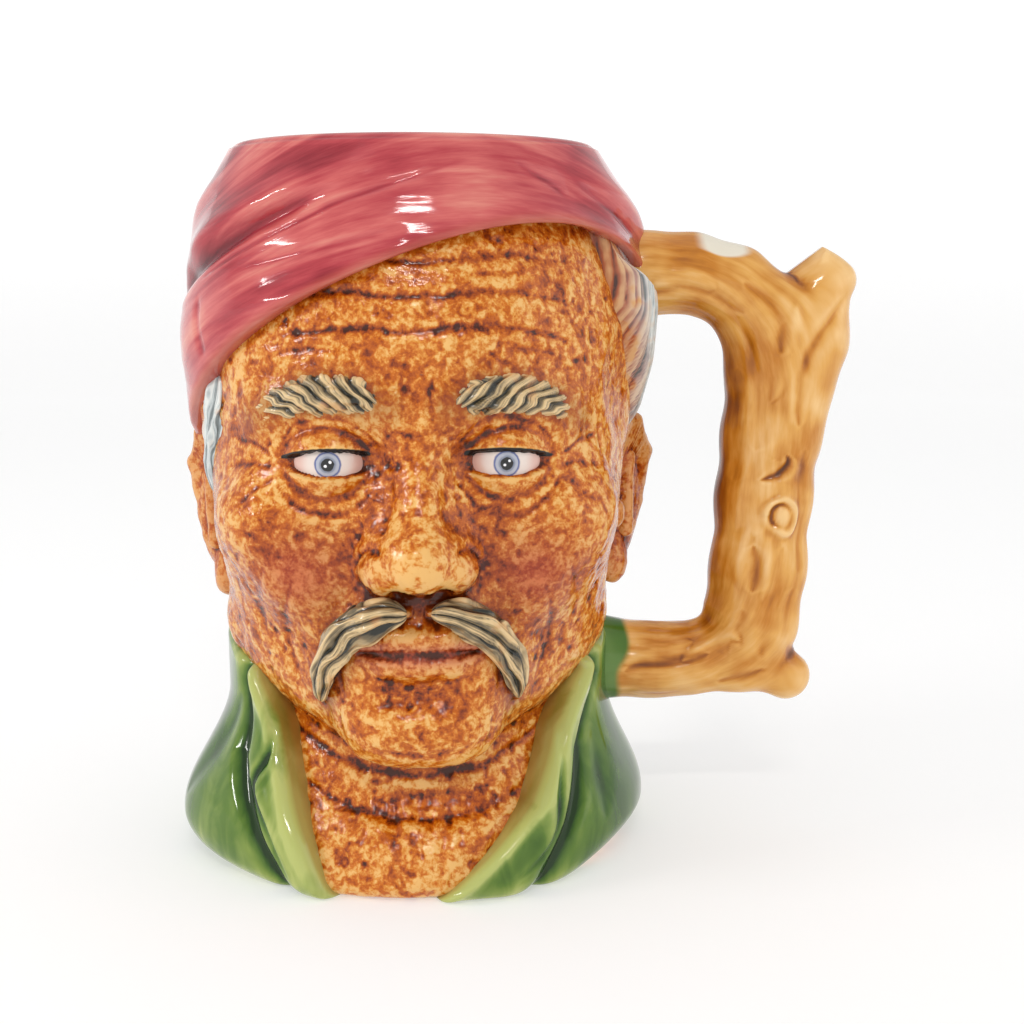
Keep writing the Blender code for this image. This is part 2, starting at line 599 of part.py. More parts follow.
def handle_object():
    """The branch as rings round a line that rounds its corners, each point pushed out to the wood."""
    root = COLLAR_NECK_RADIUS - 0.004 - GRIP_X
    middle = (
        branch_place(root, 1.0),
        branch_place(root + 0.016, 1.0),
        branch_place(-0.0150, 0.97),
        branch_place(-0.0055, 0.885),
        branch_place(-0.0005, 0.76),
        branch_place(0.0, 0.63),
        branch_place(-0.0005, 0.43),
        branch_place(-0.0020, 0.26),
        branch_place(-0.0060, 0.12),
        branch_place(-0.0130, 0.04),
        branch_place(-0.0225, 0.005),
        branch_place(root + 0.008, 0.01),
        branch_place(root, 0.01),
    )
    line, tangent = smooth_path(middle, HANDLE_RINGS)
    inward = np.stack((tangent[:, 2], np.zeros(len(line)), -tangent[:, 0]), axis=-1)
    around = np.arange(HANDLE_SIDES) / HANDLE_SIDES * 2 * math.pi
    across = np.array((0, 1, 0))
    way = inward[:, None] * np.cos(around)[None, :, None] + across * np.sin(around)[None, :, None]
    far = np.zeros(way.shape[:2])
    for _ in range(60):
        far = far - 0.8 * np.minimum(branch(line[:, None] + way * far[..., None]), 0)
    return grid_mesh("handle", line[:, None] + way * far[..., None])


def glaze(name, colour, roughness):
    """A plain glazed finish."""
    material = bpy.data.materials.new(name)
    material.use_nodes = True
    shader = material.node_tree.nodes["Principled BSDF"]
    shader.inputs["Base Color"].default_value = (*colour, 1)
    shader.inputs["Roughness"].default_value = roughness
    shader.inputs["Metallic"].default_value = 0.0
    return material


def combine(target, tool, operation):
    """Adds a Boolean to target and keeps the tool out of the model."""
    step = target.modifiers.new(f"{operation.lower()}_{tool.name}", "BOOLEAN")
    step.operation = operation
    step.solver = "EXACT"
    step.object = tool
    tool.hide_render = True
    tool.display_type = "WIRE"


def thin_out(obj, share):
    """Leaves a share of the triangles, most of them where the form is busiest."""
    fewer = obj.modifiers.new("fewer_faces", "DECIMATE")
    fewer.ratio = share


def centre_on_box(mug):
    """Moves every mesh so that the origin is on the table under the middle of the finished mug's box."""
    finished = mug.evaluated_get(bpy.context.evaluated_depsgraph_get())
    corners = np.array(finished.bound_box)
    middle = (corners.min(axis=0) + corners.max(axis=0)) / 2
    for obj in bpy.data.objects:
        obj.data.transform(Matrix.Translation((-middle[0], -middle[1], 0)))


def between_table_and_rim():
    """A turned block that trims the foot level and gives the rim its level land and rounded edge."""
    wide = 1.3 * OUTSIDE
    shelf = MUG_HEIGHT - 0.35 * CAP_SHOULDER
    rings = (
        (wide, 0),
        (wide, shelf),
        (MOUTH_RADIUS + 1.2 * (MUG_HEIGHT - shelf), shelf),
        (MOUTH_RADIUS, MUG_HEIGHT - 0.4 * RIM_ROUND),
        (MOUTH_RADIUS - RIM_ROUND, MUG_HEIGHT),
    )
    turn = turns(72, 0.0)
    points = [np.stack((np.sin(turn) * r, -np.cos(turn) * r, np.full(72, z)), axis=-1) for r, z in rings]
    return grid_mesh("between_table_and_rim", np.array(points))


def groove(p, places, width, depth_side):
    """A furrow in the bark along places (x, share), on the -Y face of the branch or the +Y one."""
    out = depth_side * HANDLE_FLATNESS**0.5 * 0.98 * GRIP_RADIUS
    line = [np.array(branch_place(x, share)) + np.array((0, out, 0)) for x, share in places]
    radii = [0.5 * width] + [width] * (len(places) - 2) + [0.5 * width]
    return strand(p, line, radii, 0.002)


def main():
    for obj in list(bpy.data.objects):
        bpy.data.objects.remove(obj)
    mug = vessel_object()
    thin_out(mug, VESSEL_KEPT)
    handle = handle_object()
    thin_out(handle, HANDLE_KEPT)
    ears = [
        ear_object("ear_left", 1, 0, 0),
        ear_object("ear_right", -1, RIGHT_EAR_INWARD, RIGHT_EAR_LOWER),
    ]
    for ear_piece in ears:
        thin_out(ear_piece, EAR_KEPT)
    for tool in (handle, *ears):
        combine(mug, tool, "UNION")
    combine(mug, between_table_and_rim(), "INTERSECT")
    cavity = cavity_object()
    thin_out(cavity, CAVITY_KEPT)
    for tool in (cavity, foot_recess_object()):
        combine(mug, tool, "DIFFERENCE")
    thin_out(mug, FINISHED_KEPT)
    mug.data.materials.append(glaze("mottled_glaze", (0.62, 0.33, 0.13), 0.18))
    mug.data.shade_smooth()
    centre_on_box(mug)


main()
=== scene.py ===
import math
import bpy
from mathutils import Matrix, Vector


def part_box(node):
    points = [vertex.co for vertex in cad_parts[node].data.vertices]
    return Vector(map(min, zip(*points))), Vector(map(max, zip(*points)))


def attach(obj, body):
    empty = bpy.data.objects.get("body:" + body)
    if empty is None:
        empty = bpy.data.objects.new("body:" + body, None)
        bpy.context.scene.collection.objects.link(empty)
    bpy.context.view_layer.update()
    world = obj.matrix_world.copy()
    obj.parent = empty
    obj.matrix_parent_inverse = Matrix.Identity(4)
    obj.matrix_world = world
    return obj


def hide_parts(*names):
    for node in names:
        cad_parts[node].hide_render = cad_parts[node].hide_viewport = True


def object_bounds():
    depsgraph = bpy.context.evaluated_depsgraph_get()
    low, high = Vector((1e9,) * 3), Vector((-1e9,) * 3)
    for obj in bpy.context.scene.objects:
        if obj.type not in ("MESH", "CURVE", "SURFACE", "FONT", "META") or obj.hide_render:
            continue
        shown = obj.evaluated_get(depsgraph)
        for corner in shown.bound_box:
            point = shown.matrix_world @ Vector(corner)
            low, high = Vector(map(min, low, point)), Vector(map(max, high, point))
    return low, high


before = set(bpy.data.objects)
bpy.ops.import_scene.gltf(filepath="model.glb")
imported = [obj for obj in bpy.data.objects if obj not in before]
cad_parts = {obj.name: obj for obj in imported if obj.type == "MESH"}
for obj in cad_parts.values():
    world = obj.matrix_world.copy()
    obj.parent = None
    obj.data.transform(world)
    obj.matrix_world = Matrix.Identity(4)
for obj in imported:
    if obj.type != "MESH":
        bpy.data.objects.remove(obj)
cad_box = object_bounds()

from concurrent.futures import ThreadPoolExecutor
from functools import lru_cache

import bpy
import numpy as np
from mathutils import Vector

# The looks of a glazed mug cast as a head in a cap and an open collar, with a branch for its handle.
# Every surface is a grid worked out round the mug's own axis. A direction round that axis is called turn:
# 0 is the nose and a quarter turn is the handle. Lengths are in metres, the face's in hundredths of the
# head's height: (sideways from the nose, forward, up from the chin's underside).

# Vessel
MUG_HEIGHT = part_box("face_mug")[1].z
MOUTH_RADIUS = 0.0418
WALL = 0.0045
FLOOR = 0.0060
RIM_ROUND = 0.0014
FOOT_RADIUS = 0.0503
FOOT_RING = 0.0085
FOOT_RECESS = 0.0015
HOLLOW_BASE = FOOT_RECESS + FLOOR
FOOT_ROUND = 0.0045

# Head
CHIN_HEIGHT = 0.033
CAP_OVER_CROWN = 0.004
HEAD_HEIGHT = MUG_HEIGHT - CAP_OVER_CROWN - CHIN_HEIGHT
HUNDREDTH = HEAD_HEIGHT / 100
EYE_MIDDLE = (14, 32.6, 50)
EYE_RADIUS = 6.9
EAR_PLACE = (-1.6, 3.0, -4.0)
EAR_SWEEP = math.radians(30)
EAR_WIDENED = 1.12
RIGHT_EAR_INWARD = 0.0018
RIGHT_EAR_LOWER = 0.0020

# Cap, hair and collar
CAP_RADIUS = 0.0555
CAP_SHOULDER = 0.0400
CAP_EDGE_MIDDLE = 0.1160
CAP_EDGE_SIDE_TILT = 0.0175
CAP_EDGE_BACK_TILT = 0.0250
CAP_LIP = 0.0022
HAIR_RADIUS = 0.0562
COLLAR_RADIUS = 0.0572
COLLAR_NECK_RADIUS = 0.0455
COLLAR_BULGE_HEIGHT = 0.0095
COLLAR_BACK_HEIGHT = 0.0630
COLLAR_FRONT_HEIGHT = CHIN_HEIGHT + 0.010
COLLAR_FOOT_DRAWN_IN = 0.0062
COLLAR_DRAWN_IN = 0.0038
LAPEL_LIP = 0.0024
LAPEL_SLOPE = 1.7

# Handle
GRIP_X = 0.0846
BRANCH_ROOT_X = COLLAR_NECK_RADIUS - 0.004 - GRIP_X
UPPER_ARM_Z = 0.1360
LOWER_ARM_Z = 0.0418
GRIP_RADIUS = 0.0110
ARM_RADIUS = 0.0086
HANDLE_FLATNESS = 1.18
STUB_REACH = 0.0122
KNOB_RADIUS = 0.0064
KNOT_RADIUS = 0.0038
KNOT_PLACE = (0.0013, 0.394)

# Camera: where the photograph was taken from, beside the mug's axis
CAMERA_DISTANCE = 0.370
CAMERA_HEIGHT = 0.138
CAMERA_TILT = math.radians(9.1)
CAMERA_AIM_X = 0.0227
FOCAL_PIXELS = 1552
FRAME_PIXELS = 1024
SENSOR = 36.0

LATTICE = np.random.default_rng(11).random((32, 32, 32))
OUTSIDE = 0.100
STRIPS = 8
HOLLOW_GRID = (60, 20)


def mug_axis():
    """The axis of the rim: the circle that best fits the model's highest points."""
    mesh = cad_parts["face_mug"].data
    points = np.empty(len(mesh.vertices) * 3, np.float32)
    mesh.vertices.foreach_get("co", points)
    points = points.reshape(-1, 3).astype(float)
    land = points[points[:, 2] > MUG_HEIGHT - 1e-5]
    outer = land[np.hypot(*(land[:, :2] - land[:, :2].mean(axis=0)).T) > MOUTH_RADIUS - 1.2 * RIM_ROUND]
    rows = np.column_stack((outer[:, 0], outer[:, 1], np.ones(len(outer))))
    fit = np.linalg.lstsq(rows, (outer[:, :2] ** 2).sum(axis=1), rcond=None)[0]
    return fit[0] / 2, fit[1] / 2


AXIS_X, AXIS_Y = mug_axis()


# Field pieces: each returns a length that is negative inside a mass
def ellipsoid(p, centre, radii):
    """Distance to an ellipsoid, near enough close to its surface."""
    q = (p - np.array(centre)) / np.array(radii)
    near = np.linalg.norm(q, axis=-1)
    far = np.linalg.norm(q / np.array(radii), axis=-1) + 1e-9
    return near * (near - 1) / far


def limb(p, a, b, radius_a, radius_b):
    """Distance to a rod from a to b whose radius runs from radius_a to radius_b."""
    a, b = np.array(a, float), np.array(b, float)
    along = np.clip(((p - a) @ (b - a)) / ((b - a) @ (b - a)), 0, 1)
    off = p - a - along[..., None] * (b - a)
    return np.linalg.norm(off, axis=-1) - radius_a - along * (radius_b - radius_a)


def join(a, b, soft):
    """Union of two masses, with a fillet of about soft."""
    h = np.clip(0.5 + 0.5 * (b - a) / soft, 0, 1)
    return b + (a - b) * h - soft * h * (1 - h)


def carve(a, b, soft):
    """Mass a with mass b cut away, the edge softened."""
    return -join(-a, b, soft)


def strand(p, points, radii, soft):
    """A rod through several points, its stretches joined."""
    whole = limb(p, points[0], points[1], radii[0], radii[1])
    for k in range(1, len(points) - 1):
        whole = join(whole, limb(p, points[k], points[k + 1], radii[k], radii[k + 1]), soft)
    return whole


def ease(x):
    """0 to 1 along an S curve."""
    x = np.clip(x, 0, 1)
    return x * x * (3 - 2 * x)


def bell(x):
    """1 at 0, falling away on both sides as exp(-x squared)."""
    return np.exp(-np.square(x))


def rounded(distance, radius):
    """How far a quarter-round edge stands back, at a distance in from it."""
    return radius * (1 - np.sqrt(1 - np.clip(1 - distance / radius, 0, 1) ** 2))


def unit(vectors):
    """Vectors scaled to length 1."""
    return vectors / (np.linalg.norm(vectors, axis=-1)[..., None] + 1e-12)


def in_hundredths(p):
    """A place in metres from the foot of the axis as (sideways, forward, up) in hundredths of the head."""
    return (p - (0, 0, CHIN_HEIGHT)) / (HUNDREDTH, -HUNDREDTH, HUNDREDTH)


def in_metres(q, side=1):
    """The way back from hundredths of the head to metres. side -1 puts a place on the other side."""
    return np.array(q) * (side * HUNDREDTH, -HUNDREDTH, HUNDREDTH) + (0, 0, CHIN_HEIGHT)


def noise(p, grain):
    """Smooth noise from -1 to 1: random values on a lattice of cells grain wide, eased between corners."""
    at = p / grain
    cell = np.floor(at).astype(int)
    part = ease(at - cell)
    total = 0
    for corner in np.ndindex(2, 2, 2):
        index = (cell + corner) % 32
        share = np.prod(np.where(np.array(corner), part, 1 - part), axis=-1)
        total = total + share * LATTICE[index[..., 0], index[..., 1], index[..., 2]]
    return 2 * total - 1


def lumps(p, grain, octaves):
    """Noise of several sizes added up, each half as wide and half as strong as the one before."""
    return sum(noise(p + 7.3 * grain * k, grain / 2**k) / 2**k for k in range(octaves))


def through(points, count):
    """A smooth run of count points through a few given ones (Catmull-Rom), evenly spaced."""
    points = np.array(points, float)
    padded = np.concatenate((2 * points[:1] - points[1:2], points, 2 * points[-1:] - points[-2:-1]))
    fine = []
    for k in range(1, len(padded) - 2):
        a, b, c, d = padded[k - 1 : k + 3]
        t = np.linspace(0, 1, 24, endpoint=False)[:, None]
        cubic = (3 * b - a - 3 * c + d) * t**3
        fine.append(0.5 * (2 * b + (c - a) * t + (2 * a - 5 * b + 4 * c - d) * t**2 + cubic))
    fine = np.concatenate(fine + [points[-1:]])
    length = np.concatenate(([0], np.cumsum(np.linalg.norm(np.diff(fine, axis=0), axis=1))))
    at = np.linspace(0, length[-1], count)
    return np.stack([np.interp(at, length, fine[:, k]) for k in range(fine.shape[1])], axis=-1)


def furrow(across, up, points, width):
    """A groove through (across, up) points, 1 deep and width wide.

    Its section is a bell less a third of a wider bell, so it has low shoulders, and it runs out at its ends.
    """
    points = through(points, 4 * len(points) - 3)
    nearest = np.full(across.shape, 1e3)
    share = np.zeros(across.shape)
    last = len(points) - 1
    for k in range(last):
        (ax, az), (bx, bz) = points[k], points[k + 1]
        length = (bx - ax) ** 2 + (bz - az) ** 2
        along = np.clip(((across - ax) * (bx - ax) + (up - az) * (bz - az)) / length, 0, 1)
        off = np.hypot(across - ax - along * (bx - ax), up - az - along * (bz - az))
        share = np.where(off < nearest, (k + along) / last, share)
        nearest = np.minimum(nearest, off)
    ends = np.clip(4 * share * (1 - share), 0, 1) ** 0.7 * 0.9 + 0.1
    side = nearest / (width * ends)
    return (1.3 * bell(side) - 0.3 * bell(side / 2.5)) * ends


# Grids and meshes
def in_strips(work, *grids):
    """Runs work on strips of the grids' rows side by side, and puts the strips together again."""
    grids = np.broadcast_arrays(*grids)
    strips = zip(*(np.array_split(grid, STRIPS) for grid in grids))
    with ThreadPoolExecutor(4) as crew:
        return np.concatenate(list(crew.map(lambda parts: work(*parts), strips)))


def around_axis(turn, reach, z):
    """Points at a reach from the mug's axis, measured from the axis."""
    return np.stack(np.broadcast_arrays(np.sin(turn) * reach, -np.cos(turn) * reach, z), axis=-1)


def grid_normals(points, ring):
    """Unit normals of a grid: across its rows and columns, with the columns a ring or not."""
    if ring:
        wide = np.concatenate((points[:, -1:], points, points[:, :1]), axis=1)
        across = (wide[:, 2:] - wide[:, :-2]) / 2
    else:
        across = np.gradient(points, axis=1)
    return unit(np.cross(across, np.gradient(points, axis=0)))


def outward_normals(points, way):
    """Normals of a ringed grid, turned to the side that way points to."""
    normals = grid_normals(points, True)
    return normals * np.sign((normals * way).sum(axis=-1).mean())


def shifted(grid, rows, columns, ring):
    """The grid moved by a few rows and columns, its edge values repeated unless the columns are a ring."""
    down = np.clip(np.arange(grid.shape[0]) + rows, 0, grid.shape[0] - 1)
    side = np.arange(grid.shape[1]) + columns
    side = side % grid.shape[1] if ring else np.clip(side, 0, grid.shape[1] - 1)
    return grid[down][:, side]


def hollow(points, normals, cells, ring):
    """How far each point lies below its neighbours a few cells away, as a slope: above 0 in a furrow."""
    near = [shifted(points, a * cells, b * cells, ring) for a, b in ((1, 0), (-1, 0), (0, 1), (0, -1))]
    span = sum(np.linalg.norm(other - points, axis=-1) for other in near) / 4
    rise = ((sum(near) / 4 - points) * normals).sum(axis=-1)
    return rise / (span + 1e-6)


def blurred(grid, cells, ring):
    """Each value averaged with its neighbours, twice along rows and columns."""
    for _ in range(2):
        grid = sum(shifted(grid, k, 0, ring) for k in range(-cells, cells + 1)) / (2 * cells + 1)
        grid = sum(shifted(grid, 0, k, ring) for k in range(-cells, cells + 1)) / (2 * cells + 1)
    return grid


def pooled(points, normals, fine, broad, ring):
    """Where glaze and wash gather: 0 on high spots, 1 in hollows, read from the relief at two widths."""
    small = hollow(points, normals, fine, ring)
    large = blurred(hollow(points, normals, broad, ring), 2, ring)
    depth = 1.7 * small + 0.9 * large
    return np.clip(0.5 + np.where(depth > 0, depth, 0.4 * depth), 0, 1)


def brushed_pool(points, normals, broad, ring):
    """Pooling read more widely and drawn out twice as strongly, for glaze laid on with a brush."""
    return np.clip(2 * pooled(points, normals, 4, broad, ring) - 0.5, 0, 1)


def surface(name, points, middle, inward=False, ring=False, first_end=False, last_end=False, **marks):
    """A mesh of squares over points[row, column], its faces turned away from middle.

    ring joins the last column to the first; an end closes the first or last row with a fan of triangles.
    Each mark is a value or a vector for every point, kept as an attribute.
    """
    rows, columns = points.shape[:2]
    index = np.arange(rows * columns).reshape(rows, columns)
    if ring:
        index = np.concatenate((index, index[:, :1]), axis=1)
    quads = np.stack((index[:-1, :-1], index[:-1, 1:], index[1:, 1:], index[1:, :-1]), axis=-1).reshape(-1, 4)
    away = ((points - middle) * grid_normals(points, ring)).sum(axis=-1).mean()
    turned = (away < 0) != inward
    vertices = points.reshape(-1, 3)
    fans = []
    ends = [row for row, wanted in ((0, first_end), (-1, last_end)) if wanted]
    for row in ends:
        edge = index[row] if row == 0 else index[row][::-1]
        hub = np.full(columns, len(vertices))
        fans.append(np.stack((edge[1:], edge[:-1], hub), axis=-1))
        vertices = np.concatenate((vertices, points[row].mean(axis=0)[None]))
    corners = [quads[:, ::-1] if turned else quads]
    corners += [fan[:, ::-1] if turned else fan for fan in fans]
    counts = np.concatenate([np.full(len(part), part.shape[1]) for part in corners])
    loops = np.concatenate([part.ravel() for part in corners])
    mesh = bpy.data.meshes.new(name)
    mesh.vertices.add(len(vertices))
    placed = vertices + np.array((AXIS_X, AXIS_Y, 0))
    mesh.vertices.foreach_set("co", placed.astype(np.float32).ravel())
    mesh.loops.add(len(loops))
    mesh.loops.foreach_set("vertex_index", loops.astype(np.int32))
    mesh.polygons.add(len(counts))
    starts = np.concatenate(([0], np.cumsum(counts)[:-1]))
    mesh.polygons.foreach_set("loop_start", starts.astype(np.int32))
    mesh.update(calc_edges=True)
    mesh.validate()
    mesh.shade_smooth()
    for mark, values in marks.items():
        vector = values.ndim == 3
        kept = mesh.attributes.new(mark, "FLOAT_VECTOR" if vector else "FLOAT", "POINT")
        hubs = [values[row].mean(axis=0).reshape(1, -1) for row in ends]
        flat = np.concatenate([values.reshape(rows * columns, -1), *hubs])
        kept.data.foreach_set("vector" if vector else "value", flat.astype(np.float32).ravel())
    piece = bpy.data.objects.new(name, mesh)
    bpy.context.scene.collection.objects.link(piece)
    return piece


def dress(piece, finish):
    """Gives a piece its finish and puts it in the place of the cast body."""
    piece.data.materials.append(finish)
    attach(piece, "root")
    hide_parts("face_mug")


# Head, in hundredths of its height
def head_masses(q):
    """Skull, jaw and neck, before any feature."""
    whole = ellipsoid(q, (0, 0, 62), (40, 42, 50))
    whole = join(whole, ellipsoid(q, (0, 10, 37), (35.5, 30, 42)), 6)
    whole = join(whole, limb(q, (7, 34, 6), (27, 8, 17), 6, 7), 7)
    whole = join(whole, ellipsoid(q, (22, 26, 39), (11, 11, 9)), 9)
    whole = join(whole, ellipsoid(q, (0, 32, 19), (16, 12, 13)), 8)
    whole = join(whole, ellipsoid(q, (0, 36, 6), (10, 8, 7.5)), 7)
    whole = join(whole, limb(q, (3, 36.5, 58), (22, 29, 57.5), 5, 4.5), 5)
    return carve(whole, ellipsoid(q, (41, 24, 60), (6, 9, 9)), 6)


def eyes(q, whole):
    """Sockets cut in, with eyeballs and two lids each set back into them."""
    whole = carve(whole, ellipsoid(q, (14, 46, 50.5), (11, 9.5, 6)), 4)
    ball = np.linalg.norm(q - np.array(EYE_MIDDLE), axis=-1)
    whole = join(whole, ball - EYE_RADIUS, 0.4)
    forward, up = q[..., 1] - EYE_MIDDLE[1], q[..., 2] - EYE_MIDDLE[2]
    for tilt, side in ((math.radians(17), 1), (math.radians(16), -1)):
        above = side * up * math.cos(tilt) - forward * math.sin(tilt)
        lid = carve(ball - 8.3, above, 0.3)
        whole = join(whole, lid, 0.6)
    return whole


def nose(q, whole):
    """Bridge, sides, tip, wings and nostrils."""
    whole = join(whole, limb(q, (0, 37.6, 56), (0, 44.4, 38), 3.2, 4.4), 3.5)
    whole = join(whole, limb(q, (2.5, 35.5, 50), (4.8, 40, 36), 2.5, 4.4), 3)
    whole = join(whole, ellipsoid(q, (0, 46.4, 34.6), (5.2, 5.2, 4.6)), 5)
    whole = join(whole, ellipsoid(q, (5.9, 41.8, 33.2), (3.5, 5.2, 3.8)), 3)
    wing_fold = strand(q, ((5.2, 46.6, 36.0), (8.6, 43.8, 37.0), (9.8, 40.2, 34.0)), (0.3, 0.5, 0.3), 1)
    whole = carve(whole, wing_fold, 1.4)
    return carve(whole, ellipsoid(q, (3.2, 45.2, 29.4), (1.8, 2.6, 1.5)), 1.0)


def mouth(q, whole):
    """Two full lips that meet in a level line, with the dip under them."""
    upper = strand(q, ((0, 43.5, 21.6), (4.5, 43.1, 21.9), (10.8, 39, 19.7)), (2.1, 2.0, 0.7), 1)
    lower = strand(q, ((0, 43.1, 17.2), (5, 42.3, 17.4), (10.4, 38.8, 19.2)), (2.6, 2.4, 0.8), 1)
    whole = join(join(whole, upper, 1.2), lower, 1.2)
    line = strand(q, ((0, 45.8, 19.4), (5, 44.8, 19.3), (11.2, 39.8, 19.2)), (0.6, 0.6, 0.45), 0.5)
    whole = carve(whole, line, 0.8)
    return carve(whole, ellipsoid(q, (0, 46, 12.2), (9, 3.2, 2.0)), 4)


def cheeks(q, whole):
    """Cheek pads and the fold that runs from the nose past the mouth."""
    whole = join(whole, ellipsoid(q, (17.5, 28.5, 31), (9, 9.5, 9)), 4)
    fold = strand(q, ((8.5, 43, 34.5), (13, 41, 27), (17.5, 36.5, 18)), (0.7, 1.0, 0.6), 1)
    return carve(whole, fold, 2.4)


MOUSTACHE = ((1.8, 44.6, 26.4), (6.5, 44.2, 26), (12, 41, 22), (15.4, 37.6, 15.5), (16.6, 34.8, 9.5))
EYEBROW = ((4.6, 40.6, 59.4), (10.5, 40.4, 61.2), (17, 37.4, 61.4), (22.5, 33.6, 59.2), (26.2, 29.8, 56.4))


def head(q):
    """The whole head without ears, with a low bed for each tuft of hair; sideways is folded over."""
    q = q.copy()
    q[..., 0] = np.sqrt(q[..., 0] ** 2 + 0.04)
    whole = cheeks(q, head_masses(q))
    whole = mouth(q, nose(q, eyes(q, whole)))
    whole = join(whole, strand(q, MOUSTACHE, (0.5, 1.0, 0.9, 0.7, 0.3), 2), 1.0)
    return join(whole, strand(q, EYEBROW, (0.4, 0.9, 1.0, 0.7, 0.3), 2), 1.0)


def by_height(z, stations):
    """A smooth run through (height, radius) stations."""
    heights, radii = np.array(stations).T
    near = sum(np.interp(z + shift, heights, radii) for shift in np.linspace(-0.002, 0.002, 5))
    return near / 5


def throat_radius(z):
    """The bare neck, from under the chin down to the foot."""
    share = CHIN_HEIGHT
    return by_height(
        z,
        (
            (-0.2 * share, FOOT_RADIUS - 0.0016),
            (0.15 * share, FOOT_RADIUS - 0.0016),
            (0.36 * share, FOOT_RADIUS - 0.0036),
            (0.6 * share, FOOT_RADIUS - 0.0068),
            (0.85 * share, FOOT_RADIUS - 0.0105),
            (1.2 * share, FOOT_RADIUS - 0.0130),
            (2.0 * share, FOOT_RADIUS - 0.0140),
        ),
    )


def skin(p):
    """Field of head and throat. p is in metres from the foot of the mug's axis."""
    throat = np.hypot(p[..., 0], p[..., 1]) - throat_radius(p[..., 2])
    return join(head(in_hundredths(p)) * HUNDREDTH, throat, 0.003)


def walk_in(turn, z, reach, steps):
    """From reach, goes towards the axis by most of the distance to the skin, steps times."""
    for _ in range(steps):
        reach = reach - 0.68 * skin(around_axis(turn, reach, z))
    return reach


def face_grid(columns, rows):
    """Directions and heights over the face: columns closer in front, rows from the table up under the cap."""
    side = np.linspace(-1, 1, columns)
    turn = math.radians(104) * (0.5 * side + 0.5 * side**3)
    share = np.linspace(0, 1, rows)[:, None]
    return np.broadcast_to(turn, (rows, columns)), share * (cap_edge(turn) + 0.006)


def read_off(grid, row, column):
    """Values of a grid at places between its points, straight from one to the next."""
    top = np.minimum(row.astype(int), grid.shape[0] - 2)
    left = np.minimum(column.astype(int), grid.shape[1] - 2)
    below, beside = row - top, column - left
    upper = grid[top, left] * (1 - beside) + grid[top, left + 1] * beside
    lower = grid[top + 1, left] * (1 - beside) + grid[top + 1, left + 1] * beside
    return upper * (1 - below) + lower * below


def resized(grid, rows, columns):
    """A coarse grid read off on a finer one."""
    down = np.linspace(0, grid.shape[0] - 1, rows)[:, None]
    return read_off(grid, down, np.linspace(0, grid.shape[1] - 1, columns)[None])


# Lines of age, in hundredths (sideways, up), the same on both sides, with their width and depth
FACE_LINES = (
    (((-7, 71.4), (0, 71.0), (8, 71.8), (17, 71.4), (25, 69.6)), 0.85, 0.75),
    (((-7, 77.0), (0, 76.6), (9, 77.4), (18, 77.2), (27, 75.4)), 0.85, 0.65),
    (((-7, 82.6), (0, 82.2), (8, 82.8), (17, 83.2), (26, 82.0)), 0.80, 0.55),
    (((12, 68.0), (18, 68.3), (24, 67.0)), 0.65, 0.40),
    (((6, 79.8), (14, 80.3), (21, 80.0)), 0.55, 0.30),
    (((2.6, 57.0), (2.2, 60.5), (2.6, 64.5)), 0.70, 0.60),
    (((-3, 55.6), (0, 55.2), (3, 55.6), (5.4, 54.6)), 0.60, 0.35),
    (((23.4, 51.0), (27.5, 52.6), (31, 53.4)), 0.60, 0.50),
    (((23.4, 49.4), (28, 49.0), (32, 48.0)), 0.60, 0.50),
    (((22.8, 47.8), (26.6, 45.6), (30.4, 42.4)), 0.60, 0.50),
    (((6.8, 46.6), (10.5, 42.6), (15.5, 41.6), (20.5, 43.4), (23.4, 46.8)), 0.75, 0.70),
    (((9, 40.2), (14, 38.6), (19.5, 40.0)), 0.60, 0.35),
    (((6.6, 53.4), (10.5, 57.2), (15, 57.8), (20, 56.0), (23.0, 52.0)), 0.65, 0.55),
    (((20.8, 31.0), (22.4, 24.5), (22.0, 17.5), (20.0, 11.5)), 0.80, 0.60),
    (((25.6, 33.0), (27.2, 26.0), (26.4, 19.5)), 0.80, 0.50),
    (((30.0, 36.0), (31.4, 29.0), (30.2, 22.5)), 0.80, 0.40),
    (((12.6, 18.6), (13.4, 14.6), (12.4, 10.6)), 0.60, 0.55),
    (((3.2, 25.0), (2.6, 23.6)), 0.60, 0.35),
    (((-5, 2.6), (0, 2.4), (5.4, 2.6), (10.4, 4.4)), 0.70, 0.40),
    (((-6, -4.6), (0, -5.0), (9, -4.2), (18, -1.2), (26, 3.4)), 1.00, 0.80),
    (((-6, -11.6), (0, -12.0), (8, -11.4), (17, -9.0), (24, -5.4)), 0.95, 0.60),
    (((5.6, -3.0), (4.6, -12.0), (3.2, -22.0)), 1.10, 0.55),
    (((1.6, 51.4), (4.6, 48.6)), 0.50, 0.25),
)


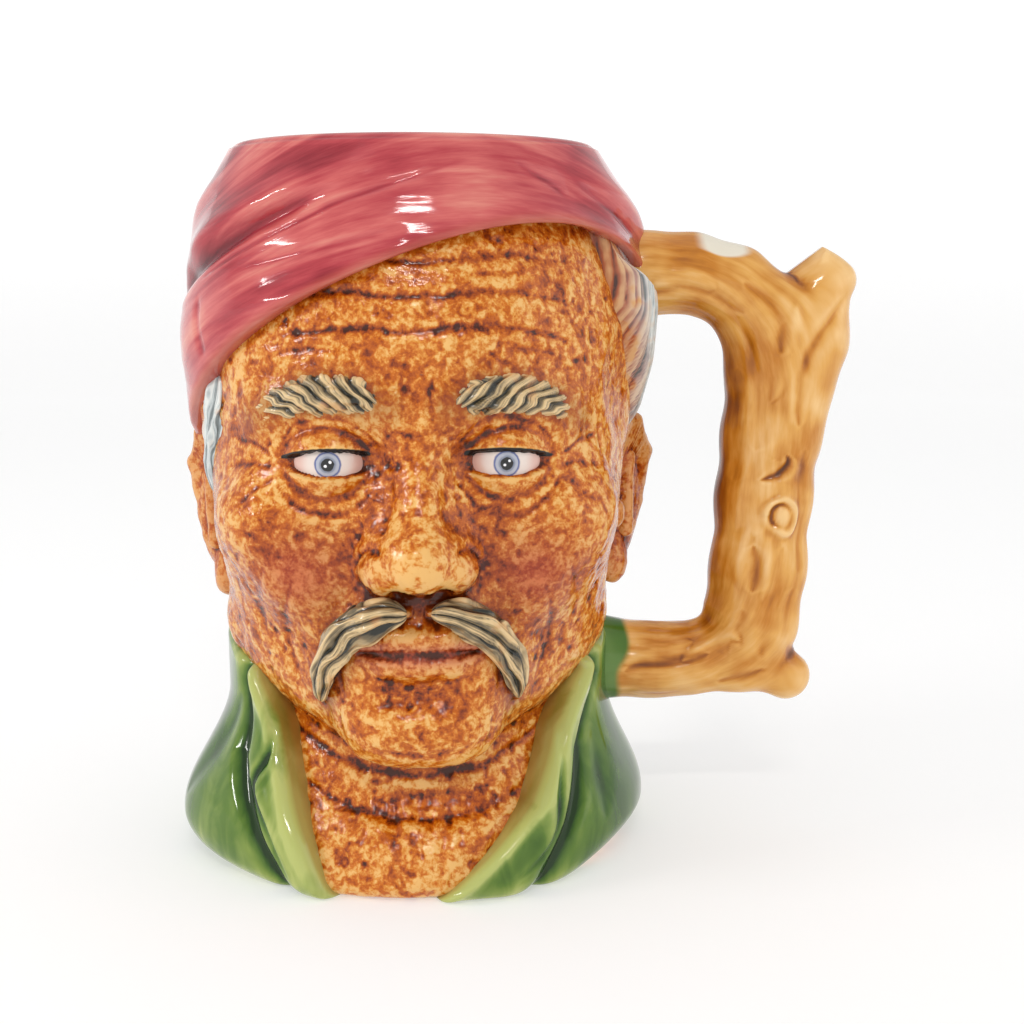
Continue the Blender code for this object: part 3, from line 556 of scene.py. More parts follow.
def face():
    """The skin: where rays towards the axis meet the field of head and throat.

    The grid is then pushed along its normals by lines of age, pits and a fine grain.
    """
    columns, rows = 318, 310
    turn, z = face_grid(108, 112)
    coarse = in_strips(lambda a, b: walk_in(a, b, np.full(a.shape, OUTSIDE), 46), turn, z)
    bulge = np.max([shifted(coarse, a, b, False) for a in (-1, 0, 1) for b in (-1, 0, 1)], axis=0)
    turn, z = face_grid(columns, rows)
    reach = resized(bulge, rows, columns) + 0.0006
    reach = in_strips(lambda a, b, c: walk_in(a, b, c, 16), turn, z, reach)
    points = around_axis(turn, reach, z)
    normals = grid_normals(points, False)
    across, forward, up = np.moveaxis(in_hundredths(points), -1, 0)
    across = np.abs(across)
    wander = noise(points, 0.007) * 0.5 + noise(points + 3, 0.0025) * 0.25
    lines = sum(depth * furrow(across, up + wander, places, width) for places, width, depth in FACE_LINES)
    from_eye = np.hypot(across - EYE_MIDDLE[0], 1.25 * (up - EYE_MIDDLE[2]))
    place = np.stack((across, forward, up), axis=-1)
    ball = np.linalg.norm(place - EYE_MIDDLE, axis=-1)
    lid = bell((ball - 8.3) / 1.3) * ease((10.4 - from_eye) / 2)
    lips = ease((12.0 - across) / 2.5) * ease((forward - 37) / 3)
    lips = lips * bell((up - 19.3 - 0.004 * across**2) / 3.0) ** 2
    smooth = 1 - 0.7 * np.maximum(lid, lips)
    pits = ease((noise(points + 5, 0.0021) - 0.20) / 0.5) * ease(noise(points, 0.009) + 0.75)
    grain = 0.00020 * lumps(points, 0.0034, 3) + 0.00030 * noise(points, 0.0072) - 0.00028 * pits
    lip_lines = 0.00011 * np.cos(5.5 * across + 1.5 * wander) * (1 - bell((up - 19.3) / 0.9))
    throat = 0.0024 * bell(turn / 0.45) * bell((z - 0.0215) / 0.0050)
    throat = throat - 0.0009 * bell((z - 0.0100 - 0.030 * np.abs(turn) ** 1.5) / 0.0035) * bell(turn / 0.5)
    relief = -0.00058 * lines * (1 - 0.75 * lid) + grain * smooth + lip_lines * lips - throat
    ink = np.clip(0.8 * lines + 0.35 * pits * smooth, 0, 1)
    border = ease(8 * (1 - np.abs(np.linspace(-1, 1, columns))))
    points = points + normals * (relief * border)[..., None]
    points[..., 2] = np.maximum(points[..., 2], 0)
    points[0, :, 2] = 0
    foot = rounded(points[..., 2], FOOT_ROUND)
    points[..., :2] *= (1 - foot / np.hypot(points[..., 0], points[..., 1]))[..., None]
    normals = grid_normals(points, False)
    rouge = bell((across - 19.5) / 8.5) * bell((up - 31.5) / 7.0)
    tip = bell(across / 5) * bell((up - 33.5) / 4.5) * ease((forward - 44) / 5)
    margin = np.abs(np.abs(up - EYE_MIDDLE[2]) - (forward - EYE_MIDDLE[1]) * 0.30)
    lash = bell(margin / 0.5) * ease((9.2 - ball) / 0.8) * ease(up - EYE_MIDDLE[2]) * ease(forward - 33.2)
    tufts = (strand(place, places, (1,) * 5, 2) for places in (MOUSTACHE, EYEBROW))
    beds = sum(bell(np.maximum(away, 0) / 2.4) for away in tufts)
    return surface(
        "face", points, (0, 0, 0.07),
        pool=pooled(points, normals, 2, 6, False),
        ink=ink, rouge=rouge, lips=lips, tip=tip, lash=lash, beds=np.clip(beds, 0, 1),
    )


def eyeball(name, side):
    """A smooth ball in its socket: rings of points from the middle of the gaze outwards."""
    from_gaze = np.linspace(0.02, math.radians(78), 48)[:, None]
    around = np.linspace(0, 2 * math.pi, 72, endpoint=False)[None]
    radius = (EYE_RADIUS + 0.12) * HUNDREDTH
    out, up = np.sin(from_gaze) * np.cos(around), np.sin(from_gaze) * np.sin(around)
    ahead = np.cos(from_gaze) + 0 * around
    gaze_out = math.radians(4) * side
    x = out * math.cos(gaze_out) + ahead * math.sin(gaze_out)
    y = out * math.sin(gaze_out) - ahead * math.cos(gaze_out)
    middle = in_metres(EYE_MIDDLE, side)
    points = middle + radius * np.stack((x, y, up), axis=-1)
    on_eye = 1000 * radius * np.stack((out, up, 0 * out), axis=-1)
    return surface(name, points, middle, ring=True, first_end=True, eye_place=on_eye)


def tuft(name, places, wide, high, locks, slant, side, seed):
    """Moulded hair: an oval section carried along a path on the skin, cut into locks that lean by slant.

    The section's radius is wide across and high outwards. Each lock is an arch |sin|, and finer hairs
    are arches again, three to a lock.
    """
    rows, columns = 140, 100
    path = in_metres(through(places, rows), side)
    share = np.linspace(0, 1, rows)
    forward = unit(np.gradient(path, axis=0))
    across = unit(np.cross(forward, path * (0.75, 1, 0)))
    out = np.cross(across, forward)
    around = np.linspace(0, 2 * math.pi, columns, endpoint=False)
    tips = np.sqrt(np.clip(1 - np.abs(2 * share - 1) ** 5, 0, 1))[:, None]
    stations = np.linspace(0, 1, len(wide))
    w = np.interp(share, stations, wide)[:, None] * tips * HUNDREDTH
    h = np.interp(share, stations, high)[:, None] * tips * HUNDREDTH
    spot = np.stack(np.broadcast_arrays(np.cos(around), np.sin(around), 3.0 * share[:, None] + seed), axis=-1)
    bend = 0.65 * noise(spot, 0.50)
    phase = locks * (np.cos(around) * side + slant * share[:, None] + 0.35 * bend)
    arch = np.abs(np.sin(phase)) ** 0.8
    hairs = np.abs(np.sin(3.2 * phase + 1.5 * bend)) ** 0.8
    height = 0.74 + 0.26 * arch + 0.09 * hairs + 0.24 * noise(spot + 9, 0.34)
    facing = np.sin(around) > -0.3
    height = np.where(facing, height, 1)
    points = path[:, None] + across[:, None] * (w * np.cos(around) * height)[..., None]
    points = points + out[:, None] * (h * np.sin(around) * height)[..., None]
    crest = np.clip(0.75 * arch + 0.35 * hairs - 0.1, 0, 1)
    streak = np.stack(np.broadcast_arrays(phase * 0.004, 0 * around, share[:, None] * 0.006 + seed), axis=-1)
    return surface(
        name, kept_in_wall(points), path[:, None], ring=True, first_end=True, last_end=True,
        crest=crest, brush=streak,
    )


def sideburn():
    """Strands that come out from under the cap's low edge, before the ear on the -X side."""
    z = np.linspace(0.087, 0.114, 5)[::-1]
    turn = -np.radians(np.linspace(60, 67, 5))
    reach = walk_in(turn, z, np.full(5, OUTSIDE), 46) - 0.0004
    places = in_hundredths(around_axis(-turn, reach, z))
    wide, high = (4.2, 4.4, 4.0, 3.2, 2.0), (1.2, 1.5, 1.5, 1.2, 0.8)
    return tuft("sideburn_right", places, wide, high, 4.5, 0.2, -1, 4)


def ear(q):
    """An outer ear, facing forward: the shell, its rolled rim, inner ridge, lobe and hollow."""
    shell = ellipsoid(q, (38, -4, 43), (6.4, 3.2, 14))
    rolled = (
        (35.5, 0.5, 50), (37.6, -0.6, 56), (41.8, -2.6, 56.4),
        (44.8, -4, 50.5), (43.2, -4, 41), (39.2, -2.8, 32.5),
    )
    whole = join(shell, strand(q, rolled, (1.4, 1.6, 1.8, 1.7, 1.5, 1.3), 1.2), 0.8)
    whole = join(whole, ellipsoid(q, (37.4, -2.0, 30), (2.9, 2.6, 4.0)), 1.6)
    whole = carve(whole, ellipsoid(q, (39.4, 0.4, 45), (3.2, 2.6, 8.5)), 0.9)
    whole = join(whole, limb(q, (41, -2.2, 50), (39.6, -1.0, 36), 1.1, 1.2), 0.6)
    return join(whole, ellipsoid(q, (35.8, 1.2, 40), (1.9, 1.6, 3.0)), 0.6)


def ear_piece(name, side, inward, lower):
    """One ear, met by rays towards a point inside it and swept back beside the head."""
    middle = np.array((38.0, -4.6, 43.0))
    up = np.linspace(0, math.pi, 112)[1:-1]
    around = np.arange(108) / 108 * 2 * math.pi
    up, around = np.meshgrid(up, around, indexing="ij")
    way = np.stack((np.sin(up) * np.cos(around), np.sin(up) * np.sin(around), -np.cos(up)), axis=-1)

    def reach_in(way):
        far = np.full(way.shape[:-1], 22.0)
        for _ in range(46):
            far = np.maximum(far - 0.72 * ear(middle + way * far[..., None]), 0.4)
        return far

    q = middle + way * in_strips(reach_in, way)[..., None]
    hinge_x, hinge_y = 36.0, -4.0
    out, forward = (q[..., 0] - hinge_x) * EAR_WIDENED, q[..., 1] - hinge_y
    x = EAR_PLACE[0] + hinge_x + out * math.cos(EAR_SWEEP) + forward * math.sin(EAR_SWEEP)
    y = EAR_PLACE[1] + hinge_y - out * math.sin(EAR_SWEEP) + forward * math.cos(EAR_SWEEP)
    points = in_metres(np.stack((x, y, EAR_PLACE[2] + q[..., 2]), axis=-1), side) - (side * inward, 0, lower)
    middle = points.mean(axis=(0, 1))
    normals = outward_normals(points, points - middle)
    points = kept_in_wall(points + normals * (0.00030 * lumps(points, 0.0040, 3))[..., None])
    none = np.zeros(points.shape[:2])
    unused = dict.fromkeys(("ink", "lips", "tip", "lash", "beds"), none)
    return surface(
        name, points, middle, ring=True, first_end=True, last_end=True,
        pool=pooled(points, normals, 2, 6, True), rouge=none + 0.45, **unused,
    )


# Cap
def cap_edge(turn):
    """Height of the cap's lower edge: a tilted ring, low at the back and on the -X side."""
    return CAP_EDGE_MIDDLE + CAP_EDGE_SIDE_TILT * np.sin(turn) + CAP_EDGE_BACK_TILT * np.cos(turn)


def ridge(turn, z, start, end, width, sharp):
    """1 along a crease from start to end, each (direction in degrees, height), falling off sideways."""
    a = np.array((math.radians(start[0]) * CAP_RADIUS, start[1]))
    b = np.array((math.radians(end[0]) * CAP_RADIUS, end[1]))
    at = np.stack(np.broadcast_arrays(turn * CAP_RADIUS, z), axis=-1)
    length = np.linalg.norm(b - a)
    along = ((at - a) @ (b - a)) / length**2
    side = ((at - a) @ np.array((a[1] - b[1], b[0] - a[0]))) / length
    skew = np.where(side > 0, 1.0, sharp)
    ends = ease((along + 0.15) / 0.3) * ease((1.15 - along) / 0.3)
    return bell(side / (width * skew)) * ends


# Folds of the cap: height, then start and end (direction, depth below the rim), width and skew
CAP_FOLDS = (
    (0.0026, (-70, 0.026), (-8, 0.004), 0.0060, 0.5),
    (-0.0034, (-84, 0.034), (-26, 0.013), 0.0032, 0.7),
    (0.0018, (-80, 0.046), (40, 0.026), 0.0080, 1.0),
    (-0.0016, (22, 0.006), (84, 0.024), 0.0055, 0.8),
    (0.0022, (55, 0.006), (100, 0.022), 0.0060, 0.8),
    (-0.0022, (-112, 0.052), (-82, 0.040), 0.0030, 1.0),
    (0.0016, (-130, 0.030), (-75, 0.010), 0.0055, 1.0),
    (-0.0024, (120, 0.020), (176, 0.050), 0.0040, 0.7),
    (0.0020, (110, 0.034), (178, 0.066), 0.0070, 0.7),
    (-0.0022, (-178, 0.030), (-128, 0.052), 0.0040, 0.8),
)
CAP_CREASES = (
    (-0.0007, (-58, 0.029), (-22, 0.016), 0.0009, 0.5),
    (-0.0006, (-24, 0.016), (16, 0.005), 0.0010, 0.6),
    (-0.0005, (-61, 0.035), (-57, 0.046), 0.0012, 1.0),
    (-0.0005, (-44, 0.028), (-6, 0.021), 0.0012, 1.0),
    (0.0004, (-40, 0.036), (20, 0.024), 0.0020, 1.0),
    (-0.0006, (28, 0.006), (42, 0.012), 0.0011, 0.8),
    (-0.0005, (48, 0.010), (74, 0.020), 0.0012, 0.8),
    (0.0005, (-100, 0.040), (-66, 0.028), 0.0016, 1.0),
    (-0.0006, (-128, 0.030), (-96, 0.022), 0.0012, 0.8),
    (-0.0006, (100, 0.018), (140, 0.036), 0.0012, 0.8),
    (-0.0006, (140, 0.024), (178, 0.034), 0.0012, 0.8),
    (-0.0006, (-178, 0.046), (-140, 0.060), 0.0012, 0.8),
)


def cap_radius(turn, z):
    """The cap leaves the rim, swells over its shoulder and is drawn into long slanting folds."""
    below = MUG_HEIGHT - z
    swell = 1 - (1 - np.clip(below / CAP_SHOULDER, 0, 1)) ** 2
    radius = MOUTH_RADIUS + (CAP_RADIUS - MOUTH_RADIUS) * swell
    radius = radius - 0.030 * np.clip(below - CAP_SHOULDER, 0, None)
    radius = radius - 0.0022 * np.clip(np.cos(turn), 0, 1) ** 2 * swell
    radius = radius - 0.0016 * np.clip(-np.sin(turn), 0, 1) ** 2 * swell
    depth = ease(below / 0.018)
    for height, start, end, width, sharp in CAP_FOLDS + CAP_CREASES:
        a, b = (start[0], MUG_HEIGHT - start[1]), (end[0], MUG_HEIGHT - end[1])
        radius = radius + height * depth * ridge(turn, z, a, b, width, sharp)
    return radius


def cap():
    """The draped cap: over the rim, down its folds to the slanting edge, and under it."""
    columns = 470
    turn = np.linspace(-math.pi, math.pi, columns, endpoint=False)[None]
    rim = np.linspace(math.pi, 0.12, 12)[:, None]
    rim_middle = MOUTH_RADIUS - WALL / 2
    rim_reach = rim_middle + WALL / 2 * np.cos(rim) + 0 * turn
    rim_z = MUG_HEIGHT - RIM_ROUND + RIM_ROUND * np.sin(rim) + 0 * turn
    share = np.linspace(0, 1, 146)[:, None] ** 0.92
    top, edge = MUG_HEIGHT - RIM_ROUND, cap_edge(turn)
    z = top + (edge - top) * share
    reach = cap_radius(turn, z)
    pulled = 0.00010 * noise(around_axis(turn, 0.03, z * 3.2), 0.006) * ease((top - z) / 0.01)
    reach = reach + pulled - 0.7 * rounded(z - edge, CAP_LIP)
    tucked = np.array((0.0012, 0.0030, 0.0075))[:, None]
    under_reach = reach[-1:] - tucked
    under_z = edge + tucked * np.array((0.0, 0.1, 0.3))[:, None]
    reach = np.concatenate((rim_reach, reach, under_reach))
    z = np.concatenate((rim_z, z, under_z))
    points = kept_in_wall(around_axis(turn, reach, z))
    normals = grid_normals(points, True)
    slant = z - cap_edge(turn) + 0.010 * np.sin(turn)
    brush = np.stack((points[..., 0] * 0.10, points[..., 1] * 0.10, slant), axis=-1)
    above = np.clip((z - cap_edge(turn)) / 0.02, 0, 1)
    inside = np.zeros(reach.shape)
    inside[: len(rim)] = np.linspace(1, 0, len(rim))[:, None] ** 2
    pool = brushed_pool(points, -normals, 11, True)
    marks = {"pool": pool, "brush": brush, "above": above, "inside": inside}
    return surface("cap", points, (0, 0, 0.145), ring=True, **marks)


# Hair
def past_temple(turn, z):
    """How far round towards the back a direction is from where the hair starts, in radians."""
    return np.abs(turn) - np.radians(np.interp(z / MUG_HEIGHT, (0.55, 0.65, 0.78), (84, 72, 62)))


def hair_radius(turn, z):
    """Hair stands out under the cap, tucks in behind the ears and hangs thick down the back."""
    height = MUG_HEIGHT
    beside = (
        (0.30 * height, HAIR_RADIUS - 0.0150),
        (0.52 * height, HAIR_RADIUS - 0.0125),
        (0.585 * height, HAIR_RADIUS - 0.0095),
        (0.63 * height, HAIR_RADIUS - 0.0042),
        (0.70 * height, HAIR_RADIUS - 0.0012),
        (0.78 * height, HAIR_RADIUS),
        (0.90 * height, HAIR_RADIUS - 0.0020),
    )
    behind = (
        (0.30 * height, HAIR_RADIUS - 0.0105),
        (0.40 * height, HAIR_RADIUS - 0.0060),
        (0.52 * height, HAIR_RADIUS - 0.0025),
        (0.65 * height, HAIR_RADIUS - 0.0015),
        (0.90 * height, HAIR_RADIUS - 0.0020),
    )
    back = ease((np.abs(turn) - math.radians(100)) / math.radians(32))
    radius = by_height(z, beside) + (by_height(z, behind) - by_height(z, beside)) * back
    grown = ease(past_temple(turn, z) / math.radians(10) + 0.5)
    return radius - 0.012 * (1 - grown), grown


def hair():
    """Combed hair from temple to temple round the back: wavy locks, each cut again into finer hairs."""
    columns, rows = 760, 106
    turn = math.pi + np.linspace(-1, 1, columns)[None] * math.radians(126)
    turn = np.where(turn > math.pi, turn - 2 * math.pi, turn)
    low = 0.040
    z = low + np.linspace(0, 1, rows)[:, None] * (cap_edge(turn) + 0.004 - low)
    reach, grown = hair_radius(turn, z)
    places = around_axis(turn, 0.055, z * 0.5)
    wave = noise(places, 0.012)
    phase = 30 * turn + 75 * np.sign(turn) * (z - 0.1) + 2.0 * np.sin(4 * turn) + 2.6 * wave
    lock = np.abs(np.sin(phase)) ** 0.75
    hairs = np.abs(np.sin(4 * phase + 2.5 * noise(places + 4, 0.006))) ** 0.8
    hem = ease((z - 0.047) / 0.010)
    relief = 0.0012 * (lock - 0.75) + 0.00055 * (hairs - 0.4) + 0.0006 * wave
    reach = reach + relief * hem * grown - 0.0045 * (1 - hem)
    tucked = ease((z - cap_edge(turn) + 0.0070) / 0.0050)
    reach = reach - tucked * np.maximum(reach - cap_radius(turn, z) + 0.0030, 0)
    points = kept_in_wall(around_axis(turn, reach, z))
    crest = np.clip(0.45 * lock + 0.60 * hairs - 0.05, 0, 1)
    brush = np.stack(np.broadcast_arrays(phase * 0.0020, 0 * z, z * 0.12), axis=-1)
    temple = 1 - ease(past_temple(turn, z) / math.radians(9) + 0.1)
    return surface("hair", points, (0, 0, 0.08), crest=crest, brush=brush, temple=temple)


# Coat collar
def lapel_turn(z, side):
    """Direction of the lapel's inner edge at a height: side -1 or +1. The +X lapel sweeps to the middle."""
    share = z / CHIN_HEIGHT
    if side < 0:
        return -np.radians(np.interp(share, (0, 0.36, 1.1, 1.5), (23, 30, 47, 58)))
    return np.radians(np.interp(share, (0, 0.27, 0.6, 1.0, 1.4), (4, 16, 31, 43, 58)))


def collar_top(turn):
    """Height of the collar's upper edge: lowest in front, highest at the back."""
    return COLLAR_FRONT_HEIGHT + (COLLAR_BACK_HEIGHT - COLLAR_FRONT_HEIGHT) * (0.5 - 0.5 * np.cos(turn))


def collar_radius(turn, z):
    """The collar flares from the neck to a bulge just above the table, its lapels rolled back."""
    rise = np.clip((z - COLLAR_BULGE_HEIGHT) / (3.1 * COLLAR_BULGE_HEIGHT), 0, 1)
    radius = COLLAR_RADIUS - (COLLAR_RADIUS - COLLAR_NECK_RADIUS) * ease(rise)
    tuck = np.clip(1 - z / COLLAR_BULGE_HEIGHT, 0, 1)
    handle_side = ease(1 - np.abs(turn - math.radians(66)) / math.radians(64))
    radius = radius - COLLAR_DRAWN_IN * handle_side * (1 - ease(rise))
    radius = radius - (COLLAR_RADIUS - FOOT_RADIUS + COLLAR_FOOT_DRAWN_IN * handle_side) * tuck**2
    in_front = ease((math.radians(78) - np.abs(turn)) / math.radians(44))
    flat_front = FOOT_RADIUS + 0.0012 - 0.0070 * ease(rise)
    radius = radius + (flat_front - radius) * in_front
    z_share = z / CHIN_HEIGHT
    left_fold = -np.radians(np.interp(z_share, (0, 0.45, 0.85, 1.3), (36, 47, 58, 62)))
    right_fold = np.radians(np.interp(z_share, (0, 0.45, 0.9, 1.3), (30, 42, 52, 66)))
    crease = bell((turn - left_fold) / 0.055) + bell((turn - right_fold) / 0.055)
    roll = bell((turn - left_fold - 0.13) / 0.10) + bell((turn - right_fold + 0.13) / 0.10)
    drape = 0.0010 * np.sin(5 * turn + 60 * z) * ease((np.abs(turn) - 1.3) / 0.5)
    return radius - 0.0022 * crease + 0.0012 * roll + drape


# Small folds in the coat: (direction in degrees, height) points, width, depth
COAT_FOLDS = (
    (((-49, 0.040), (-46, 0.030), (-49, 0.022), (-41, 0.014), (-34, 0.004)), 0.0011, 0.0009),
    (((-66, 0.040), (-70, 0.028), (-78, 0.014)), 0.0040, 0.0006),
    (((48, 0.041), (40, 0.025), (38, 0.020), (35, 0.012), (25, 0.005)), 0.0011, 0.0008),
    (((64, 0.040), (58, 0.026), (54, 0.012)), 0.0036, 0.0006),
    (((100, 0.044), (108, 0.026), (112, 0.010)), 0.0028, 0.0009),
    (((140, 0.056), (134, 0.034), (138, 0.014)), 0.0028, 0.0009),
    (((170, 0.058), (174, 0.036), (166, 0.016)), 0.0028, 0.0008),
    (((-104, 0.046), (-112, 0.028), (-108, 0.010)), 0.0028, 0.0009),
    (((-136, 0.054), (-142, 0.034), (-136, 0.014)), 0.0028, 0.0009),
    (((-166, 0.060), (-160, 0.038), (-168, 0.018)), 0.0028, 0.0008),
)


def collar():
    """The coat's collar: columns run from one lapel's edge round the back to the other's, rows upwards.

    Along every edge the surface turns in by a quarter round and goes on inwards, under the skin.
    """
    columns, rows = 480, 136
    side = np.linspace(0, 1, columns)[None]
    up = np.linspace(0, 1, rows)[:, None]
    z = 0.045 * up + 0 * side
    for _ in range(4):
        left, right = lapel_turn(z, -1), lapel_turn(z, 1) - 2 * math.pi
        turn = left + (right - left) * side
        z = up * collar_top(turn)
    turn = np.where(turn < -math.pi, turn + 2 * math.pi, turn)
    reach = collar_radius(turn, z)
    folds = 0
    for places, width, depth in COAT_FOLDS:
        on_coat = [(math.radians(direction) * FOOT_RADIUS, height) for direction, height in places]
        folds = folds + depth * furrow(turn * FOOT_RADIUS, z, on_coat, width)
    places = around_axis(turn, 0.055, z)
    reach = reach - folds + 0.0003 * noise(places, 0.012)
    to_lapel = np.minimum(side, 1 - side) * np.abs(right - left) * FOOT_RADIUS
    bead = 0.0005 * bell((to_lapel - LAPEL_LIP) / 0.0016)
    curl = np.maximum(rounded(to_lapel, LAPEL_LIP), rounded(z[-1:] - z, LAPEL_LIP))
    reach = reach + bead - curl - rounded(z, FOOT_ROUND)
    turn, reach, z, to_lapel = (np.pad(grid, 2, mode="edge") for grid in (turn, reach, z, to_lapel))
    for turned in (reach, reach.T):
        turned[[0, -1]] -= 0.0050
        turned[[1, -2]] -= 0.0015
    z[:2] += np.array((0.0004, 0.0002))[:, None]
    points = kept_in_wall(around_axis(turn, reach, z))
    pool = brushed_pool(points, -grid_normals(points, False), 10, False)
    seam = 0.6 * bell(to_lapel / 0.0005)
    seam[:, (0, -1)] = 1
    brush = points * (1, 1, 0.45)
    lapel = bell(to_lapel / 0.0080)
    return surface("coat_collar", points, (0, 0, 0.03), pool=pool, brush=brush, lapel=lapel, seam=seam)


# Inside and underside
def past(x):
    """How far x is past 0, starting gently."""
    return 0.5 * (x + np.hypot(x, 0.0008)) - 0.0004


def collar_mass(turn, z, reach):
    """The collar as a mass, ended at its lapels and its top edge."""
    whole = reach - collar_radius(turn, z)
    opening = np.minimum(turn - lapel_turn(z, -1), lapel_turn(z, 1) - turn) * FOOT_RADIUS
    return whole + LAPEL_SLOPE * (past(opening) + past(z - collar_top(turn)))


def outer_form(p):
    """Field of the whole vessel: skin, hair, collar and cap joined."""
    turn = np.arctan2(p[..., 0], -p[..., 1])
    reach = np.hypot(p[..., 0], p[..., 1])
    z = p[..., 2]
    covered = carve(reach - hair_radius(turn, z)[0], cap_edge(turn) + 0.004 - z, 0.001)
    draped = carve(reach - cap_radius(turn, z), z - cap_edge(turn), 2 * CAP_LIP)
    whole = join(join(skin(p), covered, 0.001), collar_mass(turn, z, reach), 0.0008)
    return join(whole, draped, 0.0008)


@lru_cache
def hollow_reach():
    """Radius of the hollow: the least of the outer form near each point, smoothed, less the wall."""
    columns, rows = HOLLOW_GRID
    turn = (np.arange(columns) + 0.5) / columns * 2 * math.pi - math.pi
    z = np.linspace(HOLLOW_BASE, MUG_HEIGHT, rows)[:, None]

    def from_outside(turn, z):
        reach = np.full(turn.shape, OUTSIDE)
        for _ in range(50):
            reach = np.maximum(reach - 0.62 * outer_form(around_axis(turn, reach, z)), 0.02)
        return reach

    reach = in_strips(from_outside, turn[None], z)
    least = np.min([np.roll(reach, k, axis=1) for k in (-1, 0, 1)], axis=0)
    least = np.min([shifted(least, k, 0, True) for k in (-1, 0, 1)], axis=0)
    smooth = (np.roll(least, 1, axis=1) + 2 * least + np.roll(least, -1, axis=1)) / 4
    inner = np.minimum(smooth, least) - WALL
    inner[-1] = MOUTH_RADIUS - WALL
    return inner


def kept_in_wall(points):
    """Hidden parts that would come through into the hollow, drawn back into the wall."""
    columns, rows = HOLLOW_GRID
    turn = np.arctan2(points[..., 0], -points[..., 1])
    column = ((turn + math.pi) / (2 * math.pi) * columns - 0.5) % columns
    row = np.clip((points[..., 2] - HOLLOW_BASE) / (MUG_HEIGHT - HOLLOW_BASE), 0, 1) * (rows - 1)
    least = read_off(np.pad(hollow_reach(), ((0, 0), (0, 1)), mode="wrap"), row, column) + 0.3 * WALL
    beside_hollow = (points[..., 2] > HOLLOW_BASE - 0.001) & (points[..., 2] < MUG_HEIGHT - 2 * RIM_ROUND)
    grow = np.where(beside_hollow, np.maximum(least / np.hypot(points[..., 0], points[..., 1]), 1), 1)
    points[..., :2] *= grow[..., None]
    return points


def mug_inside():
    """The hollow: from under the rim's inner edge down the wall, round the corner and over the floor."""
    columns, rows, corner = 120, 110, 0.010
    coarse = hollow_reach()
    inner = resized(np.pad(coarse, ((0, 0), (0, 1)), mode="wrap"), rows, columns + 1)[:, :-1]
    inner = blurred(inner, 3, True)[::-1]
    turn = ((np.arange(columns) / columns + 0.5 / coarse.shape[1]) * 2 * math.pi - math.pi)[None]
    z = np.linspace(MUG_HEIGHT, HOLLOW_BASE, rows)[:, None] + 0 * turn
    inner = inner - rounded(z - HOLLOW_BASE, corner)
    kept = z[:, 0] < MUG_HEIGHT - RIM_ROUND
    lip = np.array((0.45 * WALL, 0.06 * RIM_ROUND))[:, None]
    lip_z = MUG_HEIGHT - RIM_ROUND * np.array((0.6, 1.0))[:, None]
    floor_rings = np.array((0.97, 0.85, 0.6, 0.3, 0.03))[:, None]
    reach = np.concatenate((MOUTH_RADIUS - WALL + lip + 0 * turn, inner[kept], inner[-1:] * floor_rings))
    z = np.concatenate((lip_z + 0 * turn, z[kept], HOLLOW_BASE + 0 * floor_rings + 0 * turn))
    points = around_axis(turn, reach, z)
    return surface("mug_inside", points, (0, 0, 0.07), inward=True, ring=True, last_end=True)


def mug_foot():
    """The underside, turned: a flat ring to stand on and a shallow dish inside it."""
    ring = FOOT_RADIUS - FOOT_RING
    profile = np.array(
        (
            (FOOT_RADIUS - FOOT_ROUND - 0.0006, 0.0012),
            (FOOT_RADIUS - FOOT_ROUND - 0.0006, 0.0),
            (ring + 0.0012, 0.0),
            (ring + 0.0003, 0.0001),
            (ring, 0.0005),
            (ring - 0.0009, FOOT_RECESS),
            (0.5 * ring, FOOT_RECESS),
            (0.0010, FOOT_RECESS),
        )
    )
    turn = np.linspace(-math.pi, math.pi, 120, endpoint=False)[None]
    points = around_axis(turn, profile[:, :1], profile[:, 1:])
    piece = surface("mug_foot", points, (0, 0, 0.05), ring=True, last_end=True)
    piece.data.set_sharp_from_angle(angle=math.radians(35))
    return piece


# Handle
def branch_height(share):
    """Height at a share of the way from the lower arm to the upper one."""
    return LOWER_ARM_Z + share * (UPPER_ARM_Z - LOWER_ARM_Z)


def branch_place(x, share):
    """A point in the handle's plane: x from the grip's axis, at a share of the height between the arms."""
    return (GRIP_X + x, 0, branch_height(share))


def branch_path():
    """Points down the middle of the branch, each with its half-thickness."""
    arm, grip = ARM_RADIUS, GRIP_RADIUS
    return (
        (branch_place(BRANCH_ROOT_X, 1.0), 1.25 * arm),
        (branch_place(BRANCH_ROOT_X + 0.014, 1.0), 1.04 * arm),
        (branch_place(BRANCH_ROOT_X + 0.024, 1.0), 1.0 * arm),
        (branch_place(-0.0090, 0.965), 1.04 * arm),
        (branch_place(0.0, 0.87), 1.0 * grip),
        (branch_place(0.0020, 0.74), 1.05 * grip),
        (branch_place(0.0005, 0.585), 1.02 * grip),
        (branch_place(-0.0005, 0.43), 1.0 * grip),
        (branch_place(-0.0015, 0.24), 1.0 * grip),
        (branch_place(-0.0030, 0.095), 1.0 * grip),
        (branch_place(-0.0065, 0.01), 1.02 * arm),
        (branch_place(-0.0185, 0.0), 0.96 * arm),
        (branch_place(BRANCH_ROOT_X + 0.016, 0.0), 1.0 * arm),
        (branch_place(BRANCH_ROOT_X, 0.01), 1.3 * arm),
    )


